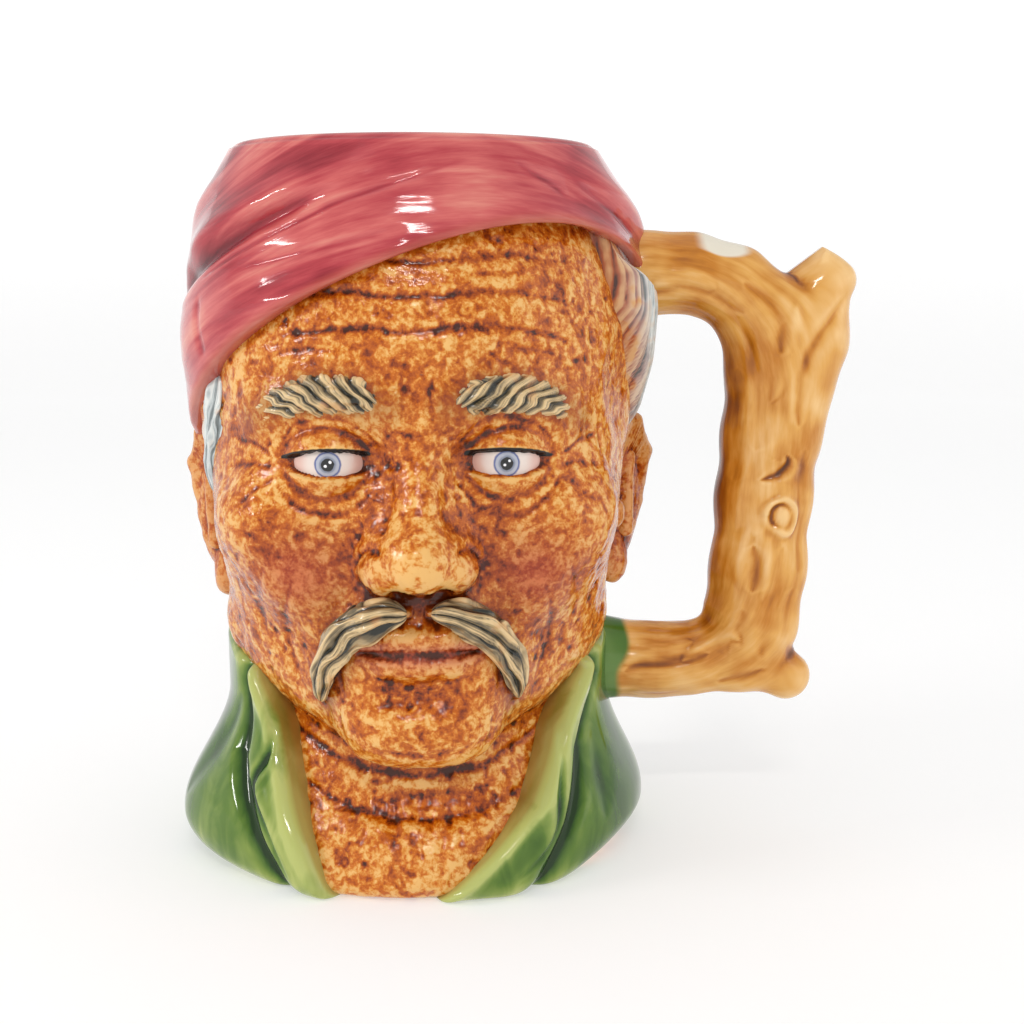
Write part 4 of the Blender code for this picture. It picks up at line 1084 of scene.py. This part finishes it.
def branch(p):
    """Field of the handle: two arms, an upright grip, a cut stub at the top and a knob at the heel."""
    q = p * np.array((1, HANDLE_FLATNESS, 1))
    places, radii = zip(*branch_path())
    wood = strand(q, places, radii, 0.004)
    stub = branch_place(0.0035, 0.60), branch_place(STUB_REACH - 0.003, 0.83), branch_place(STUB_REACH, 0.965)
    thick = GRIP_RADIUS
    wood = join(wood, strand(q, stub, (0.82 * thick, 0.86 * thick, 0.66 * thick), 0.003), 0.004)
    top = branch_place(STUB_REACH - 0.0014, 1.024), branch_place(STUB_REACH + 0.0046, 0.985)
    wood = join(wood, limb(q, *top, 0.36 * thick, 0.32 * thick), 0.003)
    heel = branch_place(-0.001, -0.015), branch_place(0.0062, -0.050)
    return join(wood, limb(q, *heel, KNOB_RADIUS, KNOB_RADIUS), 0.004)


# Marks in the bark: (x from the grip's axis, share of the way up) points, width and depth.
# A depth below 0 stands proud.
FRONT_BARK = (
    (((0.0168, 0.94), (0.0110, 0.85), (0.0062, 0.74), (0.0054, 0.62)), 0.0014, 0.0011),
    (((-0.0078, 0.975), (-0.0030, 0.93), (0.0004, 0.87), (0.0010, 0.80)), 0.0014, 0.0007),
    (((0.0030, 0.80), (0.0004, 0.72), (-0.0030, 0.63), (-0.0046, 0.56)), 0.0024, 0.0009),
    (((0.0046, 0.92), (0.0034, 0.84), (0.0016, 0.75), (-0.0006, 0.68)), 0.0012, -0.0006),
    (((-0.0088, 0.76), (-0.0092, 0.62), (-0.0090, 0.48)), 0.0018, 0.0007),
    (((0.0027, 0.548), (0.0029, 0.522), (0.0004, 0.498), (-0.0042, 0.483)), 0.0008, 0.0011),
    (((0.0042, 0.540), (0.0044, 0.510), (0.0014, 0.482)), 0.0010, -0.0005),
    (((-0.0046, 0.315), (-0.0044, 0.255), (-0.0050, 0.195)), 0.0014, 0.0010),
    (((-0.0078, 0.20), (-0.0076, 0.30), (-0.0048, 0.355), (-0.0018, 0.30), (-0.0024, 0.17)), 0.0010, -0.0005),
    (((0.0072, 0.56), (0.0066, 0.46), (0.0076, 0.36), (0.0062, 0.24)), 0.0016, 0.0005),
    (((0.0018, 0.31), (0.0010, 0.20), (-0.0010, 0.10), (-0.0018, 0.02)), 0.0017, 0.0007),
    (((0.0052, 0.20), (0.0044, 0.09), (0.0066, -0.01)), 0.0015, 0.0007),
    (((-0.0072, 0.15), (-0.0064, 0.05)), 0.0015, 0.0004),
    (((-0.0123, -0.047), (-0.0070, -0.036), (-0.0010, -0.014)), 0.0010, 0.0007),
    (((-0.0360, 0.012), (-0.0310, 0.032), (-0.0235, 0.044), (-0.0180, 0.060)), 0.0013, -0.0008),
    (((-0.0360, -0.010), (-0.0290, 0.006), (-0.0220, 0.012), (-0.0150, 0.030)), 0.0013, 0.0008),
    (((-0.0209, 0.012), (-0.0165, 0.046), (-0.0100, 0.082), (-0.0069, 0.068)), 0.0011, -0.0008),
    (((-0.0300, 0.966), (-0.0225, 0.992), (-0.0140, 0.962)), 0.0014, -0.0006),
    (((-0.0310, 0.944), (-0.0225, 0.962), (-0.0130, 0.936), (-0.0080, 0.90)), 0.0012, 0.0006),
)
BACK_BARK = (
    (((0.0040, 0.75), (0.0000, 0.55), (0.0020, 0.38)), 0.0013, 0.0012),
    (((-0.0040, 0.50), (-0.0015, 0.30), (-0.0030, 0.12)), 0.0012, 0.0011),
    (((-0.0070, 0.86), (-0.0050, 0.70), (-0.0060, 0.58)), 0.0012, 0.0009),
    (((0.0120, 0.90), (0.0080, 0.76), (0.0060, 0.66)), 0.0012, 0.0010),
    (((0.0040, 0.28), (0.0050, 0.14), (0.0034, 0.04)), 0.0011, 0.0009),
    (((-0.0300, 0.99), (-0.0200, 1.01), (-0.0100, 0.97)), 0.0011, 0.0008),
    (((-0.0320, 0.01), (-0.0220, -0.01), (-0.0120, 0.00)), 0.0011, 0.0009),
    (((-0.0010, 0.96), (0.0020, 0.88), (0.0010, 0.80)), 0.0012, -0.0006),
    (((0.0070, 0.50), (0.0060, 0.36)), 0.0012, -0.0006),
)


def handle():
    """The branch: rings round a line that rounds its corners, each point pushed out to the wood."""
    rings, sides = 420, 140
    line = through(
        (
            branch_place(BRANCH_ROOT_X, 1.0),
            branch_place(BRANCH_ROOT_X + 0.016, 1.0),
            branch_place(-0.0150, 0.97),
            branch_place(-0.0055, 0.885),
            branch_place(-0.0005, 0.76),
            branch_place(0.0, 0.63),
            branch_place(-0.0005, 0.43),
            branch_place(-0.0020, 0.26),
            branch_place(-0.0060, 0.12),
            branch_place(-0.0130, 0.04),
            branch_place(-0.0225, 0.005),
            branch_place(BRANCH_ROOT_X + 0.008, 0.01),
            branch_place(BRANCH_ROOT_X, 0.01),
        ),
        rings,
    )
    tangent = unit(np.gradient(line, axis=0))
    inward = np.stack((tangent[:, 2], np.zeros(rings), -tangent[:, 0]), axis=-1)
    around = np.arange(sides) / sides * 2 * math.pi
    way = inward[:, None] * np.cos(around)[None, :, None]
    way = way + np.array((0, 1, 0)) * np.sin(around)[None, :, None]

    def push_out(start, way):
        far = np.zeros(way.shape[:2])
        for _ in range(36):
            far = far - 0.85 * np.minimum(branch(start + way * far[..., None]), 0)
        return far

    far = in_strips(push_out, np.broadcast_to(line[:, None], way.shape), way)
    points = line[:, None] + way * far[..., None]
    normals = outward_normals(points, way)
    x = points[..., 0] - GRIP_X
    z = points[..., 2]
    relief = 0
    wander = 0.0010 * noise(points, 0.008)
    for marks, side in ((FRONT_BARK, -1), (BACK_BARK, 1)):
        facing = ease(0.5 + 1.6 * side * normals[..., 1])
        for places, width, depth in marks:
            on_bark = [(px, branch_height(share)) for px, share in places]
            relief = relief - 0.75 * depth * facing * furrow(x + wander, z, on_bark, 1.6 * width)
    knot_x, knot_share = KNOT_PLACE
    knot_z = branch_height(knot_share)
    from_knot = np.hypot(x - knot_x, 0.9 * (z - knot_z)) + 0.0011 * noise(points, 0.0042)
    front = ease(0.5 + 1.6 * -normals[..., 1])
    open_side = 1 - 0.8 * bell((np.arctan2(z - knot_z, x - knot_x) + 2.5) / 0.7)
    relief = relief + front * 0.0010 * bell((from_knot - 0.95 * KNOT_RADIUS) / 0.0009) * open_side
    ball_x, ball_z = x - knot_x - 0.0006, z - knot_z + 0.0003
    from_ball = np.hypot(ball_x, 0.85 * ball_z)
    left = 0.10 + 0.90 * ease(0.5 - ball_x / 0.004 + ball_z / 0.008)
    relief = relief - front * 0.0009 * bell((from_ball - 0.0025) / 0.0009) * left
    relief = relief + front * 0.0004 * bell(from_ball / 0.0022)
    length = np.linspace(0, 1, rings)[:, None] * 0.20
    ring = np.cos(around) * 0.011, np.sin(around) * 0.011
    grain = np.stack(np.broadcast_arrays(*ring, length * 0.16), axis=-1)
    relief = relief + 0.00042 * noise(grain, 0.0048) + 0.00012 * noise(grain + 2, 0.0018)
    ends = ease(np.minimum(length, 0.20 - length) / 0.004)
    points = kept_in_wall(points + normals * (relief * ends)[..., None])
    normals = outward_normals(points, way)
    points[..., 0] = np.minimum(points[..., 0], cad_box[1][0] - AXIS_X - 1e-5)
    # Painted shade: inner darkens the side of the branch that faces the mug, most along the middle of the
    # grip.
    inner = ease(0.6 * np.cos(around)[None] + 0.35 * np.sin(around)[None] + 0.1) * np.ones((rings, 1))
    inner = inner * bell((length - 0.095) / 0.055)
    green = ease((0.0506 - points[..., 0] + 2 * wander) / 0.0022) * ease((0.07 - z) / 0.01)
    bare = ease((normals[..., 2] - 0.2) / 0.5) * ease((points[..., 2] - 0.138) / 0.003)
    bare = bare * bell((points[..., 0] - 0.0725) / 0.007)
    return surface(
        "branch_handle", points, line[:, None], ring=True, first_end=True, last_end=True,
        pool=pooled(points, normals, 2, 6, True), brush=grain, inner=inner, bare=bare, green=green,
    )


# Finishes
class Value:
    """One socket in a finish's nodes. Arithmetic on it adds Math nodes."""

    def __init__(self, finish, socket):
        self.finish = finish
        self.socket = socket

    def math(self, operation, *others):
        sockets = dict(enumerate((self, *others)))
        return self.finish.node("ShaderNodeMath", {"operation": operation}, sockets)

    def __add__(self, other):
        return self.math("ADD", other)

    __radd__ = __add__

    def __mul__(self, other):
        return self.math("MULTIPLY", other)

    __rmul__ = __mul__

    def __sub__(self, other):
        return self.math("SUBTRACT", other)

    def __rsub__(self, other):
        return self * -1 + other

    def ramp(self, low, high):
        """0 below low, 1 above high, eased between."""
        settings = {"interpolation_type": "SMOOTHSTEP"}
        return self.finish.node("ShaderNodeMapRange", settings, {0: self, 1: low, 2: high})


class Finish:
    """A glazed finish and the nodes that work out its colour, gloss and bumps."""

    def __init__(self, name, roughness, coat):
        self.material = bpy.data.materials.new(name)
        self.material.use_nodes = True
        self.tree = self.material.node_tree
        self.shader = self.tree.nodes["Principled BSDF"]
        self.feed(self.shader, {"Roughness": roughness, "Specular IOR Level": 0.35})
        self.feed(self.shader, {"Coat Weight": coat, "Coat Roughness": 0.035})

    def node(self, kind, settings, sockets, output=0):
        """Adds a node: first its settings, such as an operation or a ramp's stops, then its sockets."""
        made = self.tree.nodes.new(kind)
        for setting, value in settings.items():
            if setting == "stops":
                for k, (place, colour) in enumerate(value):
                    stop = made.color_ramp.elements[k] if k < 2 else made.color_ramp.elements.new(place)
                    stop.position = place
                    stop.color = colour
            else:
                setattr(made, setting, value)
        self.feed(made, sockets)
        return Value(self, made.outputs[output])

    def feed(self, made, sockets):
        """Puts values or links into a node's sockets."""
        for socket, value in sockets.items():
            if isinstance(value, Value):
                self.tree.links.new(value.socket, made.inputs[socket])
            else:
                made.inputs[socket].default_value = value

    def place(self):
        return self.node("ShaderNodeTexCoord", {}, {}, "Object")

    def mark(self, name):
        return self.node("ShaderNodeAttribute", {"attribute_name": name}, {}, 2)

    def mark_place(self, name):
        return self.node("ShaderNodeAttribute", {"attribute_name": name}, {}, 1)

    def noise(self, place, grain, detail=3.0, roughness=0.5, twist=0.0):
        """Noise from 0 to 1 with lumps about grain metres wide."""
        shape = {"Scale": 1 / grain, "Detail": detail, "Roughness": roughness, "Distortion": twist}
        return self.node("ShaderNodeTexNoise", {}, {"Vector": place, **shape})

    def mix(self, under, over, amount):
        """Colour over laid on colour under, by amount."""
        settings = {"data_type": "RGBA", "clamp_factor": True}
        return self.node("ShaderNodeMix", settings, {0: amount, 6: under, 7: over}, 2)

    def colours(self, value, *stops):
        """A colour read off a ramp of (place, colour) stops."""
        return self.node("ShaderNodeValToRGB", {"stops": stops}, {0: value})

    def bump(self, height, depth, strength=1.0):
        """Fine relief in the glaze, from height times depth metres."""
        normal = self.node("ShaderNodeBump", {}, {"Height": height, "Distance": depth, "Strength": strength})
        self.feed(self.shader, {"Normal": normal})

    def paint(self, colour):
        self.feed(self.shader, {"Base Color": colour})
        return self.material


def pigment(red, green, blue):
    """A colour given as it looks on screen, turned to the linear values that shaders take."""
    screen = (red, green, blue)
    return *(((c + 0.055) / 1.055) ** 2.4 if c > 0.04 else c / 12.92 for c in screen), 1.0


CREAM = pigment(0.91, 0.71, 0.42)
TAN = pigment(0.85, 0.56, 0.22)
ORANGE = pigment(0.77, 0.40, 0.06)
BURNT = pigment(0.65, 0.29, 0.02)
RUST = pigment(0.48, 0.18, 0.02)
UMBER = pigment(0.26, 0.10, 0.03)
BLACK = pigment(0.06, 0.06, 0.06)


def skin_glaze():
    """Cream glaze with orange and brown washes that gather in the hollows and are sponged into flecks."""
    glaze = Finish("mottled_skin_glaze", 0.13, 0.10)
    place = glaze.place()
    blotch = glaze.noise(place, 0.0130, 2.0)
    sponge = glaze.noise(place, 0.0026, 3.0, 0.62, 0.4)
    fleck = glaze.noise(place, 0.0009, 2.0, 0.6)
    wash = (blotch - 0.5) * 0.60 + (sponge - 0.5) * 1.45 + (fleck - 0.5) * 0.70 - 0.01
    wash = wash + glaze.mark("pool") * 0.95 + glaze.mark("ink") * 0.30 - glaze.mark("tip") * 0.06
    colour = glaze.colours(
        wash, (0.20, CREAM), (0.36, TAN), (0.50, ORANGE), (0.68, BURNT), (0.86, RUST), (1.0, UMBER)
    )
    red = glaze.colours(
        wash,
        (0.20, pigment(0.78, 0.42, 0.24)),
        (0.55, pigment(0.62, 0.23, 0.10)),
        (0.95, pigment(0.34, 0.08, 0.04)),
    )
    colour = glaze.mix(colour, red, glaze.mark("rouge") * (0.60 + blotch * 0.8))
    lip_pale, lip_red = pigment(0.80, 0.46, 0.32), pigment(0.58, 0.23, 0.13)
    lip = glaze.colours(wash, (0.25, lip_pale), (0.60, lip_red), (0.95, UMBER))
    colour = glaze.mix(colour, lip, glaze.mark("lips"))
    colour = glaze.mix(colour, RUST, glaze.mark("beds") * 0.55)
    colour = glaze.mix(colour, BLACK, glaze.mark("lash").ramp(0.35, 0.7))
    glaze.bump(sponge * 0.6 + fleck * 0.4, 0.00035, 0.8)
    return glaze.paint(colour)


def cap_glaze():
    """Crimson laid on with a broad brush over pink: streaks along the folds, dark where it gathers."""
    glaze = Finish("brushed_crimson_glaze", 0.10, 0.15)
    place = glaze.place()
    brush = glaze.mark_place("brush")
    patch = glaze.noise(place, 0.022, 2.0, 0.5, 0.3)
    stroke = glaze.noise(brush, 0.0055, 3.0, 0.6, 0.3)
    hairline = glaze.noise(brush, 0.0014, 3.0, 0.7)
    lap = glaze.noise(brush, 0.0120, 1.0, 0.4, 0.2).ramp(0.50, 0.55)
    wash = (patch - 0.5) * 0.70 + (stroke - 0.5) * 0.70 + (hairline - 0.5) * 0.45 + lap * 0.20
    wash = wash + glaze.mark("pool") * 0.60 + 0.16
    colour = glaze.colours(
        wash,
        (0.12, pigment(0.86, 0.54, 0.48)),
        (0.34, pigment(0.79, 0.38, 0.37)),
        (0.54, pigment(0.69, 0.24, 0.27)),
        (0.76, pigment(0.54, 0.12, 0.17)),
        (1.00, pigment(0.36, 0.04, 0.10)),
    )
    stain = (1 - glaze.mark("above").ramp(0.0, 0.15)) * (0.3 + patch * 0.6)
    colour = glaze.mix(colour, pigment(0.62, 0.30, 0.14), stain * 0.8)
    colour = glaze.mix(colour, pigment(0.94, 0.86, 0.80), glaze.mark("inside"))
    glaze.bump(hairline, 0.00006, 0.5)
    return glaze.paint(colour)


def coat_glaze():
    """Thin watery green: pale yellow-green on the lapels and high folds, deep green in the creases."""
    glaze = Finish("watery_green_glaze", 0.10, 0.15)
    brush = glaze.mark_place("brush")
    patch = glaze.noise(brush, 0.020, 2.0, 0.5, 0.6)
    stroke = glaze.noise(brush, 0.0060, 3.0, 0.5, 0.8)
    wash = (patch - 0.5) * 1.15 + (stroke - 0.5) * 0.50 + 0.33
    wash = wash + glaze.mark("pool") * 0.75 - glaze.mark("lapel") * 0.30
    colour = glaze.colours(
        wash,
        (0.18, pigment(0.70, 0.73, 0.42)),
        (0.38, pigment(0.50, 0.58, 0.26)),
        (0.55, pigment(0.34, 0.46, 0.15)),
        (0.74, pigment(0.21, 0.35, 0.07)),
        (0.98, pigment(0.09, 0.20, 0.03)),
    )
    edge = glaze.mark("seam").ramp(0.2, 0.9) * (0.2 + patch * 0.9)
    colour = glaze.mix(colour, pigment(0.62, 0.40, 0.16), edge)
    glaze.bump(stroke, 0.00010, 0.4)
    return glaze.paint(colour)


def hair_glaze(name, pale, grey, dark, stain):
    """Pale hairs with grey and dark paint drawn between them."""
    glaze = Finish(name, 0.15, 0.35)
    streak = glaze.noise(glaze.mark_place("brush"), 0.0016, 3.0, 0.6)
    patch = glaze.noise(glaze.place(), 0.0060, 2.0)
    crest = glaze.mark("crest")
    shade = crest * 0.85 + (streak - 0.5) * 1.0 + (patch - 0.5) * 0.9
    colour = glaze.colours(shade, (0.24, dark), (0.50, grey), (0.78, pale))
    washed = glaze.colours(shade, (0.24, UMBER), (0.50, BURNT), (0.80, stain))
    colour = glaze.mix(colour, washed, glaze.mark("temple") + patch.ramp(0.54, 0.68) * 0.45)
    glaze.bump(streak, 0.00015, 0.6)
    return glaze.paint(colour)


def bark_glaze():
    """Honey-tan glaze over the branch: amber in the furrows, cream on the ridges, and darker amber painted as
    shade on the side that faces the mug.
    """
    glaze = Finish("amber_branch_glaze", 0.12, 0.15)
    place = glaze.place()
    brush = glaze.mark_place("brush")
    patch = glaze.noise(place, 0.016, 2.0, 0.5, 0.3)
    stroke = glaze.noise(brush, 0.0022, 3.0, 0.55)
    wash = (patch - 0.5) * 0.80 + (stroke - 0.5) * 0.42
    # The inner mark adds painted shade on the side of the branch that faces the mug.
    wash = wash + glaze.mark("pool") * 0.95 + glaze.mark("inner") * 0.50
    colour = glaze.colours(
        wash,
        (0.20, pigment(0.94, 0.77, 0.52)),
        (0.40, pigment(0.87, 0.64, 0.32)),
        (0.56, pigment(0.77, 0.49, 0.15)),
        (0.74, pigment(0.59, 0.32, 0.04)),
        (0.98, pigment(0.34, 0.17, 0.03)),
    )
    colour = glaze.mix(colour, pigment(0.90, 0.87, 0.80), glaze.mark("bare").ramp(0.3, 0.7))
    green = glaze.mix(pigment(0.26, 0.42, 0.13), pigment(0.42, 0.54, 0.27), patch.ramp(0.3, 0.7))
    colour = glaze.mix(colour, green, glaze.mark("green"))
    glaze.bump(stroke, 0.00010, 0.5)
    return glaze.paint(colour)


def eye_glaze():
    """A painted eye: pinkish white, a thin blue ring, a washed iris, a black pupil and two small glints,
    which are painted highlights.
    """
    glaze = Finish("painted_eye_glaze", 0.06, 0.6)
    at = glaze.mark_place("eye_place")
    wobble = glaze.noise(glaze.place(), 0.0012, 2.0)

    def far_from(x, y):
        offset = glaze.node("ShaderNodeVectorMath", {"operation": "DISTANCE"}, {0: at, 1: (x, y, 0)}, 1)
        return offset + (wobble - 0.5) * 0.35

    spread = far_from(0, 0)
    colour = glaze.mix(pigment(0.90, 0.84, 0.80), pigment(0.86, 0.66, 0.60), spread.ramp(3.6, 6.8) * 0.8)
    colour = glaze.mix(colour, pigment(0.62, 0.66, 0.74), (1 - spread.ramp(2.45, 2.75)) * 0.8)
    ring = spread.ramp(2.30, 2.50) * (1 - spread.ramp(2.65, 2.95))
    colour = glaze.mix(colour, pigment(0.30, 0.36, 0.58), ring * 0.9)
    colour = glaze.mix(colour, pigment(0.40, 0.44, 0.52), (1 - spread.ramp(1.5, 2.0)) * 0.7)
    colour = glaze.mix(colour, BLACK, 1 - spread.ramp(1.25, 1.45))
    # Two small white dots painted on as highlights: glints of light put into the eye's colour.
    for x, y in ((0.55, 0.60), (-0.45, -0.25)):
        colour = glaze.mix(colour, pigment(0.97, 0.97, 0.98), 1 - far_from(x, y).ramp(0.22, 0.34))
    return glaze.paint(colour)


def clear_glaze(name, roughness):
    """Ivory body under clear glaze, with faint specks and a warmer tone where it lies thick."""
    glaze = Finish(name, roughness, 0.4)
    place = glaze.place()
    tone = glaze.noise(place, 0.018, 3.0)
    speck = glaze.noise(place, 0.0011, 2.0).ramp(0.70, 0.76)
    colour = glaze.mix(pigment(0.94, 0.92, 0.87), pigment(0.88, 0.84, 0.75), tone.ramp(0.35, 0.75))
    colour = glaze.mix(colour, pigment(0.62, 0.48, 0.34), speck * 0.35)
    glaze.bump(tone, 0.0003, 0.3)
    return glaze.paint(colour)


# Studio
def studio_floor():
    """A pale round sweep: flat under the mug, then a quarter round up to an upright wall on every side."""
    flat, bend, height = 1.3, 0.4, 0.6
    corner = np.linspace(0, math.pi / 2, 16)
    reach = np.concatenate(([0.02, 0.4, 0.9], flat + bend * np.sin(corner), [flat + bend]))[:, None]
    z = np.concatenate(([0, 0, 0], bend * (1 - np.cos(corner)), [height]))[:, None]
    turn = np.linspace(0, 2 * math.pi, 96, endpoint=False)[None]
    points = around_axis(turn, reach, z)
    floor = surface("studio_floor", points, (0, 0, 2), inward=True, ring=True, first_end=True)
    paper = Finish("pale_paper", 0.85, 0.0)
    grain = paper.noise(paper.place(), 0.004, 2.0)
    up = paper.node("ShaderNodeSeparateXYZ", {}, {0: paper.place()}, 2)
    glow = paper.mix(pigment(0.68, 0.68, 0.68), pigment(0.76, 0.76, 0.76), up.ramp(0.0, 0.35))
    paper.feed(paper.shader, {"Emission Color": glow, "Emission Strength": 1.0})
    tone = paper.mix(pigment(0.805, 0.805, 0.805), pigment(0.795, 0.795, 0.795), grain)
    floor.data.materials.append(paper.paint(tone))


def lamp(name, place, size, power, colour):
    """A soft light, a rectangle that faces the mug."""
    data = bpy.data.lights.new(name, "AREA")
    data.shape = "RECTANGLE"
    data.size, data.size_y = size
    data.energy = power
    data.color = colour
    light = bpy.data.objects.new(name, data)
    bpy.context.scene.collection.objects.link(light)
    light.location = place
    light.rotation_mode = "QUATERNION"
    light.rotation_quaternion = (Vector((0, 0, 0.08)) - light.location).to_track_quat("-Z", "Y")


def studio_light():
    """Two narrow windows beside and above the camera, soft fill from the side and above, a bright room."""
    lamp("window_left", (-0.95, -0.30, 0.52), (0.36, 0.050), 2.5, (1.0, 0.99, 0.97))
    lamp("window_front", (-0.03, -0.95, 0.85), (0.30, 0.042), 2.3, (1.0, 0.98, 0.95))
    lamp("fill_right", (1.0, -0.35, 0.45), (0.7, 0.7), 0.8, (1.0, 1.0, 1.0))
    lamp("over", (0.0, 0.1, 1.2), (1.0, 1.0), 0.9, (1.0, 1.0, 1.0))
    world = bpy.data.worlds.new("bright_room")
    world.use_nodes = True
    room = world.node_tree.nodes["Background"]
    room.inputs["Color"].default_value = (1.0, 1.0, 1.0, 1.0)
    room.inputs["Strength"].default_value = 0.70
    bpy.context.scene.world = world


def photo_camera():
    """The camera stands in front of the mug's axis, a little above the brow, and looks slightly down."""
    data = bpy.data.cameras.new("photo_camera")
    data.sensor_width = SENSOR
    data.lens = FOCAL_PIXELS / FRAME_PIXELS * SENSOR
    camera = bpy.data.objects.new("photo_camera", data)
    bpy.context.scene.collection.objects.link(camera)
    eye = Vector((AXIS_X, AXIS_Y - CAMERA_DISTANCE, CAMERA_HEIGHT))
    aim = Vector((AXIS_X + CAMERA_AIM_X, AXIS_Y, CAMERA_HEIGHT - CAMERA_DISTANCE * math.tan(CAMERA_TILT)))
    camera.location = eye
    camera.rotation_mode = "QUATERNION"
    camera.rotation_quaternion = (aim - eye).to_track_quat("-Z", "Y")
    bpy.context.scene.camera = camera
    bpy.context.scene.view_settings.view_transform = "Standard"


def main():
    skin_finish = skin_glaze()
    dress(face(), skin_finish)
    dress(ear_piece("ear_left", 1, 0, 0), skin_finish)
    dress(ear_piece("ear_right", -1, RIGHT_EAR_INWARD, RIGHT_EAR_LOWER), skin_finish)
    eye_finish = eye_glaze()
    whiskers = hair_glaze(
        "whisker_glaze", pigment(0.88, 0.76, 0.56), pigment(0.52, 0.45, 0.33), pigment(0.15, 0.15, 0.12),
        pigment(0.80, 0.54, 0.26),
    )
    tufts = (
        ("moustache", MOUSTACHE, (2.4, 3.2, 3.1, 2.6, 1.6), (2.6, 3.6, 3.4, 2.8, 1.6), 4.2, 0.6, 2),
        ("eyebrow", EYEBROW, (2.2, 3.1, 3.1, 2.7, 2.0), (1.9, 2.9, 3.1, 2.7, 1.9), 4.2, 7.0, 6),
    )
    for side, word in ((1, "left"), (-1, "right")):
        dress(eyeball(f"eyeball_{word}", side), eye_finish)
        for name, *shape, seed in tufts:
            dress(tuft(f"{name}_{word}", *shape, side, seed + side), whiskers)
    grey = hair_glaze(
        "grey_hair_glaze", pigment(0.86, 0.87, 0.85), pigment(0.70, 0.73, 0.73), pigment(0.46, 0.49, 0.49),
        pigment(0.82, 0.62, 0.40),
    )
    dress(hair(), grey)
    dress(sideburn(), grey)
    dress(cap(), cap_glaze())
    dress(collar(), coat_glaze())
    dress(handle(), bark_glaze())
    dress(mug_inside(), clear_glaze("ivory_inside_glaze", 0.12))
    dress(mug_foot(), clear_glaze("ivory_foot", 0.45))
    studio_floor()
    studio_light()
    photo_camera()


main()
